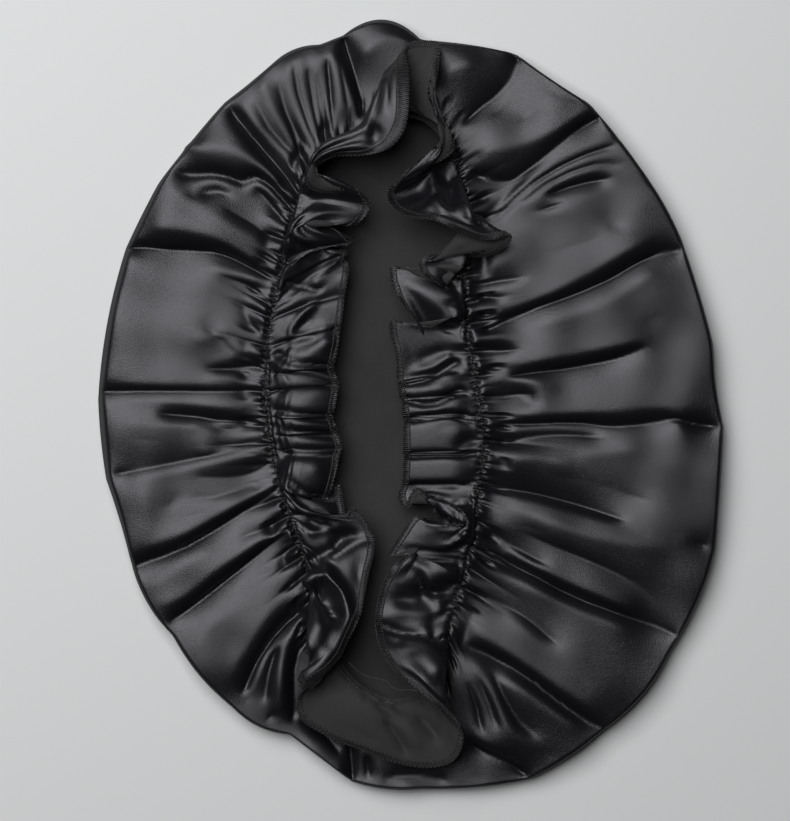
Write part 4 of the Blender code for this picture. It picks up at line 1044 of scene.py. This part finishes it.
# It settles first with few points and then with all: columns, rows, rounds and stiffness.
FRILL_STAGES = ((660, 14, 160, 0.10), (COLUMNS, FRILL_ROWS, 40, 0.08))
EVENING_ROUNDS = 12            # between the two
frill = None
for columns, rows, rounds, stiffness in FRILL_STAGES:
    seam = np.c_[elastic_loop.at(stations(columns)), np.full(columns, GATHER_HEIGHT)]
    place, frill_way, column_cut = frill_layout(columns, rows, seam)
    round_cut, _ = cut_lengths(place)
    if frill is not None:
        for _ in range(EVENING_ROUNDS):
            frill[:, 1:-1] = evened(frill)[:, 1:-1]
        settled = resampled(frill, columns, coarse_way, frill_way)
        loose = by_station(LOOSE_CLOTH, columns)[:, None, None]
        place[:, 1:-1] += loose * (settled - place)[:, 1:-1]
    down_cut = np.diff(frill_way)[None] * column_cut[:, None]
    free = free_cloth(columns, rows)
    frill = relax(place, free, round_cut, down_cut, rounds, stiffness, lowest=FRILL_LOWEST)
    coarse_way = frill_way
from_seam = FRILL_WIDTH * np.repeat(frill_way[None], COLUMNS, 0)


def apart_from(line):
    """How far each point of the frill is from a line, as seen from above."""
    apart = np.full(frill.shape[:2], 1e3)
    for start, end in zip(line, line[1:]):
        along = np.subtract(end, start)
        t = np.clip((frill[..., :2] - start) @ along / along.dot(along), 0, 1)
        from_it = frill[..., :2] - start - t[..., None] * along
        apart = np.minimum(apart, np.linalg.norm(from_it, axis=-1))
    return apart


BELLY_FULLNESS = 0.7           # a belly keeps its width towards the seam and the hem
FOLD_SHAPE, HOLLOW_SHAPE = 2, 1.4          # folds are round on top, and hollows sharp
FOLD_START = 4.0               # the folds have their full height so far from the seam
FRILL_GATHERS = 0.55           # how much of the crown's gathers goes on into the frill
LAST_ROUNDS = 12               # the cloth settles once more over them
for shift, width, *line in FRILL_BELLIES:
    pushed = np.exp(-(apart_from(line) / width) ** 2)
    pushed *= np.sin(np.pi * np.clip(from_seam / FRILL_WIDTH, 0, 1)) ** BELLY_FULLNESS
    frill += np.array(shift) * pushed[..., None]
raised = np.zeros((COLUMNS, FRILL_ROWS))
for amount, width, *line in FRILL_FOLDS:
    shape = HOLLOW_SHAPE if amount < 0 else FOLD_SHAPE
    raised += amount * np.exp(-(apart_from(line) / width) ** shape)
outwards = evened(grid_normals(frill), 4)
outwards *= np.tanh(5 * outwards[..., 2:])
raised = FRILL_GATHERS * gathers(from_seam) + raised * np.clip(from_seam / FOLD_START, 0, 1)
frill += outwards * raised[..., None]
frill[:, 0] = seam_row
relax(frill, free, *cut_lengths(frill), LAST_ROUNDS, SATIN_STIFFNESS, lowest=FRILL_LOWEST)
for _ in range(2):
    frill[:, 2:] = evened(frill)[:, 2:]

frill_inside = (frill - FRILL_THICKNESS * grid_normals(frill))[::COLUMNS // INNER_COLUMNS]
behind = COLUMNS * FRILL_ROWS
frill_parts = [(grid_faces(COLUMNS, FRILL_ROWS, 0), FACE),
               (grid_faces(INNER_COLUMNS, FRILL_ROWS, behind, True), WRONG_SIDE)]
for last, turned in ((FRILL_ROWS - 1, True), (0, False)):
    edge = step_faces(COLUMNS, INNER_COLUMNS, row_of(0, FRILL_ROWS, last),
                      row_of(behind, FRILL_ROWS, last), turned)
    frill_parts.append((edge, WRONG_SIDE))
frill_points = np.concatenate([frill.reshape(-1, 3), frill_inside.reshape(-1, 3)])
ruffle = add_mesh("satin_frill", frill_points, frill_parts, (satin, satin_back))
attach(ruffle, "root")
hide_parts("ruffle")

# ---------------------------------------------------------------------------------------------
# Elastic. A flat braided elastic, sewn to the wrong side of the satin under the gathers. It runs
# in a closed ring, ribbed along its length, and waves a little where the stitches hold it.
ELASTIC_WIDTH, ELASTIC_THICKNESS, ELASTIC_MIDDLE = 6.0, 1.0, 8.8
ELASTIC_RIBS, RIB_DEPTH = 5, 0.16          # the depth is a share of the thickness
ELASTIC_WAVES, ELASTIC_WAVE = 110, 0.12
ROUND_EDGE, ROUND_FACE = 0.55, 0.5         # how square its section is
RING_COLUMNS, RING_SIDES = 440, 24
section_turn = np.linspace(0, 2 * np.pi, RING_SIDES, endpoint=False)
aside, upward = np.cos(section_turn), np.sin(section_turn)
across = 0.5 * ELASTIC_WIDTH * np.sign(aside) * np.abs(aside) ** ROUND_EDGE
rib = 1 - RIB_DEPTH * np.cos(2 * np.pi * ELASTIC_RIBS * across / ELASTIC_WIDTH) ** 2
height = 0.5 * ELASTIC_THICKNESS * rib * np.sign(upward) * np.abs(upward) ** ROUND_FACE
ring_station = stations(RING_COLUMNS)
ring = np.zeros((RING_COLUMNS, RING_SIDES, 3))
ring[..., :2] = (elastic_loop.at(ring_station)[:, None]
                 + elastic_loop.inward(ring_station)[:, None] * across[None, :, None])
waving = ELASTIC_WAVE * np.sin(2 * np.pi * ELASTIC_WAVES * ring_station)
ring[..., 2] = ELASTIC_MIDDLE + height[None] + waving[:, None]
start, end = row_of(0, RING_SIDES), row_of(0, RING_SIDES, RING_SIDES - 1)
ring_faces = grid_faces(RING_COLUMNS, RING_SIDES, 0, True)
for here in range(RING_COLUMNS):
    after = (here + 1) % RING_COLUMNS
    ring_faces.append([start(here), end(here), end(after), start(after)])
elastic_cloth = cloth_material(
    "black_braided_elastic", (0.012, 0.012, 0.013), roughness=0.74, spread=0.06, bump=0.7,
    grain_per_metre=1250.0, slub=0.9, sheen=0.15, specular=0.3)
braid = add_mesh("braided_elastic", ring.reshape(-1, 3), [(ring_faces, 0)], (elastic_cloth,))
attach(braid, "root")
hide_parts("elastic_band")

# ---------------------------------------------------------------------------------------------
# Stitches. Black overlock thread over the hem's edge, with its needle line inside it and a loose
# end at the foot, and a zigzag of the same thread that holds the elastic along the gathers.
THREAD, TAIL_THREAD = 0.21, 0.24           # radius
STITCH = 1.65                  # along the hem
LOOP_POINTS, NEEDLE_POINTS = 8, 4          # of the thread's path, to each stitch
LOOP_MIDDLE, LOOP_REACH = 1.15, 1.3        # from the edge, and to either side of that
LOOP_SLANT = 0.17              # how far the loops lean along the hem, in stitches
OVER_FACE, UNDER_BACK, LOOP_BOW = 0.24, 0.22, 0.10
NEEDLE_LINE, NEEDLE_LIFT, NEEDLE_DIP = 2.45, 0.16, 0.26
ZIGZAG, ZIGZAG_WIDTH, ZIGZAG_LIFT = 2.4, 1.35, 0.16
CROWN_SIDE, FRILL_SIDE = 6, 3  # the rows of cloth that the zigzag lies on, at either side
TAIL = (
    (1.6, -112.6, 28.7), (-0.9, -113.0, 28.6), (-4.2, -113.4, 27.6), (-7.6, -112.2, 26.6),
    (-9.8, -109.8, 25.8), (-14.2, -108.9, 25.2), (-19.8, -106.9, 25.0), (-24.6, -102.6, 25.2),
    (-26.2, -99.4, 25.0),
)
TAIL_STEPS, TAIL_UNUSED = 6, 11            # the path's last steps would lead back to its start

cloth_down = FRILL_WIDTH * (1 - frill_way)       # of each row of the frill, from the hem
frill_normals = grid_normals(frill)
hem_run = np.r_[0, np.cumsum(np.linalg.norm(np.roll(frill[:, -1], -1, 0) - frill[:, -1], axis=1))]


def on_grid(grid, column, row):
    """A grid's values at columns and rows with fractions."""
    i, j = np.floor(column).astype(int), np.minimum(np.floor(row).astype(int), grid.shape[1] - 2)
    f, g = (column - i)[:, None], (row - j)[:, None]
    return between(grid, i % len(grid), (i + 1) % len(grid), j, f, g)


def on_hem(run, inset, lift):
    """Places of a thread on the hem: so far along it, in from the edge and off the face."""
    column = np.interp(run % hem_run[-1], hem_run, np.arange(COLUMNS + 1))
    row = np.interp(inset, cloth_down[::-1], np.arange(FRILL_ROWS)[::-1])
    beyond = np.minimum(inset, 0)[:, None]
    edge = on_grid(frill, column, row)
    outward = unit(edge - on_grid(frill, column, row - 1.0))
    return edge - outward * beyond + on_grid(frill_normals, column, row) * lift[:, None]


def thread_tube(path, radius, sides, closed=True):
    """The points and faces of a thread along a path."""
    along = np.roll(path, -1, 0) - np.roll(path, 1, 0)
    if not closed:
        along[0], along[-1] = path[1] - path[0], path[-1] - path[-2]
    along = unit(along, 1e-9)
    square = np.cross(along[0], (0.3, 0.2, 0.9))
    squares = []
    for way_on in along:
        square = square - way_on * square.dot(way_on)
        square = square / math.sqrt(square.dot(square))
        squares.append(square)
    squares = np.array(squares)
    other = np.cross(along, squares)
    turn = 2 * np.pi * np.arange(sides) / sides
    skin = path[:, None] + radius * (squares[:, None] * np.cos(turn)[None, :, None]
                                     + other[:, None] * np.sin(turn)[None, :, None])
    faces = []
    for i in range(len(path) if closed else len(path) - 1):
        a, b = i * sides, (i + 1) % len(path) * sides
        faces += [[a + k, a + (k + 1) % sides, b + (k + 1) % sides, b + k] for k in range(sides)]
    return skin.reshape(-1, 3), faces


# over the edge: a looped thread on the face, one on the back half a stitch on, and the needle line
stitches = round(hem_run[-1] / STITCH)
pitch = hem_run[-1] / stitches
loop_phase = np.arange(stitches * LOOP_POINTS) / LOOP_POINTS
loop_sway = np.cos(2 * np.pi * loop_phase)
looped = (loop_phase + LOOP_SLANT * np.sin(4 * np.pi * loop_phase)) * pitch
loop_inset = LOOP_MIDDLE + LOOP_REACH * loop_sway
loop_bow = LOOP_BOW * (1 - loop_sway ** 2)
needle_phase = np.arange(stitches * NEEDLE_POINTS) / NEEDLE_POINTS
needle_lift = NEEDLE_LIFT - NEEDLE_DIP * np.cos(2 * np.pi * needle_phase)
needle_inset = np.full(len(needle_phase), NEEDLE_LINE)
on_back = on_hem(looped + 0.5 * pitch, loop_inset, -FRILL_THICKNESS - UNDER_BACK - loop_bow)
threads = [
    thread_tube(on_hem(looped, loop_inset, OVER_FACE + loop_bow), THREAD, 5),
    thread_tube(on_back, THREAD, 5),
    thread_tube(on_hem(needle_phase * pitch, needle_inset, needle_lift), THREAD, 4),
    thread_tube(smooth_loop(TAIL, TAIL_STEPS)[:-TAIL_UNUSED], TAIL_THREAD, 6, closed=False),
]

# the zigzag along the gathers, from the crown's side of the seam to the frill's
seam_cloth = np.concatenate([crown[:, -CROWN_SIDE:], frill[:, 1:1 + FRILL_SIDE]], axis=1)
zigzags = round(elastic_loop.length / ZIGZAG)
zigzag_phase = np.arange(zigzags * LOOP_POINTS) / LOOP_POINTS
zigzag_sway = 2 * np.abs(2 * (zigzag_phase % 1) - 1) - 1
side_rows = np.linalg.norm(seam_cloth[:, :, :2] - seam_row[:, None, :2], axis=2).mean(0)
side_rows[:CROWN_SIDE - 1] *= -1
side_rows[CROWN_SIDE - 1] = 0
zigzag_row = np.interp(ZIGZAG_WIDTH * zigzag_sway, side_rows, np.arange(CROWN_SIDE + FRILL_SIDE))
zigzag_path = on_grid(seam_cloth, zigzag_phase / zigzags * COLUMNS, zigzag_row)
threads.append(thread_tube(zigzag_path + np.array([0, 0, ZIGZAG_LIFT]), THREAD, 5))

thread_starts = np.cumsum([0] + [len(skin) for skin, _ in threads]).tolist()
thread_faces = [[first + k for k in face]
                for first, (_, tube) in zip(thread_starts, threads) for face in tube]
thread_points = np.concatenate([skin for skin, _ in threads])
thread = cloth_material(
    "black_overlock_thread", (0.007, 0.007, 0.008), roughness=0.42, spread=0.05, bump=0.5,
    grain_per_metre=5200.0, slub=0.3, sheen=0.05, specular=0.45)
overlock = add_mesh("overlock_stitches", thread_points, [(thread_faces, 0)], (thread,))
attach(overlock, "root")
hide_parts("hem_stitching")

# ---------------------------------------------------------------------------------------------
# Floor, light and camera. A plain pale surface, one broad soft light above the upper left, and the
# camera straight above, as the photograph was taken. Sizes here are in metres.
FLOOR = 3.0                    # half its side
floor_mesh = bpy.data.meshes.new("floor")
corners = [(-FLOOR, -FLOOR, 0), (FLOOR, -FLOOR, 0), (FLOOR, FLOOR, 0), (-FLOOR, FLOOR, 0)]
floor_mesh.from_pydata(corners, [], [(0, 1, 2, 3)])
floor = bpy.data.objects.new("floor", floor_mesh)
bpy.context.scene.collection.objects.link(floor)
pale = bpy.data.materials.new("pale_surface")
pale.use_nodes = True
pale.node_tree.nodes["Principled BSDF"].inputs["Base Color"].default_value = (0.57, 0.58, 0.585, 1)
pale.node_tree.nodes["Principled BSDF"].inputs["Roughness"].default_value = 0.55
floor_mesh.materials.append(pale)

LIGHT_PLACE, LIGHT_SIDE, LIGHT_WATTS = (-0.47, 0.50, 1.35), 1.25, 30.0
lamp = bpy.data.lights.new("over", "AREA")
lamp.shape = "RECTANGLE"
lamp.size = lamp.size_y = LIGHT_SIDE
lamp.energy = LIGHT_WATTS
light = bpy.data.objects.new("over", lamp)
light.location = LIGHT_PLACE
light.rotation_euler = (-Vector(LIGHT_PLACE)).to_track_quat("-Z", "Y").to_euler()
bpy.context.scene.collection.objects.link(light)
world = bpy.data.worlds.new("room")
world.use_nodes = True
world.node_tree.nodes["Background"].inputs["Color"].default_value = (0.80, 0.83, 0.87, 1)
world.node_tree.nodes["Background"].inputs["Strength"].default_value = 0.04
bpy.context.scene.world = world
bpy.context.scene.view_settings.view_transform = "Standard"

CAMERA_HEIGHT = 1.5
SHARP_HEIGHT = 0.008           # the height at which the width in the picture holds
PICTURE_WIDTH = 0.3176
CAMERA_ACROSS, CAMERA_ALONG = -0.0064, -0.0024
lens = bpy.data.cameras.new("camera")
lens.sensor_fit = "HORIZONTAL"
lens.sensor_width = 36.0
lens.lens = lens.sensor_width * (CAMERA_HEIGHT - SHARP_HEIGHT) / PICTURE_WIDTH
camera = bpy.data.objects.new("camera", lens)
camera.location = (CAMERA_ACROSS, CAMERA_ALONG, CAMERA_HEIGHT)
bpy.context.scene.collection.objects.link(camera)
bpy.context.scene.camera = camera
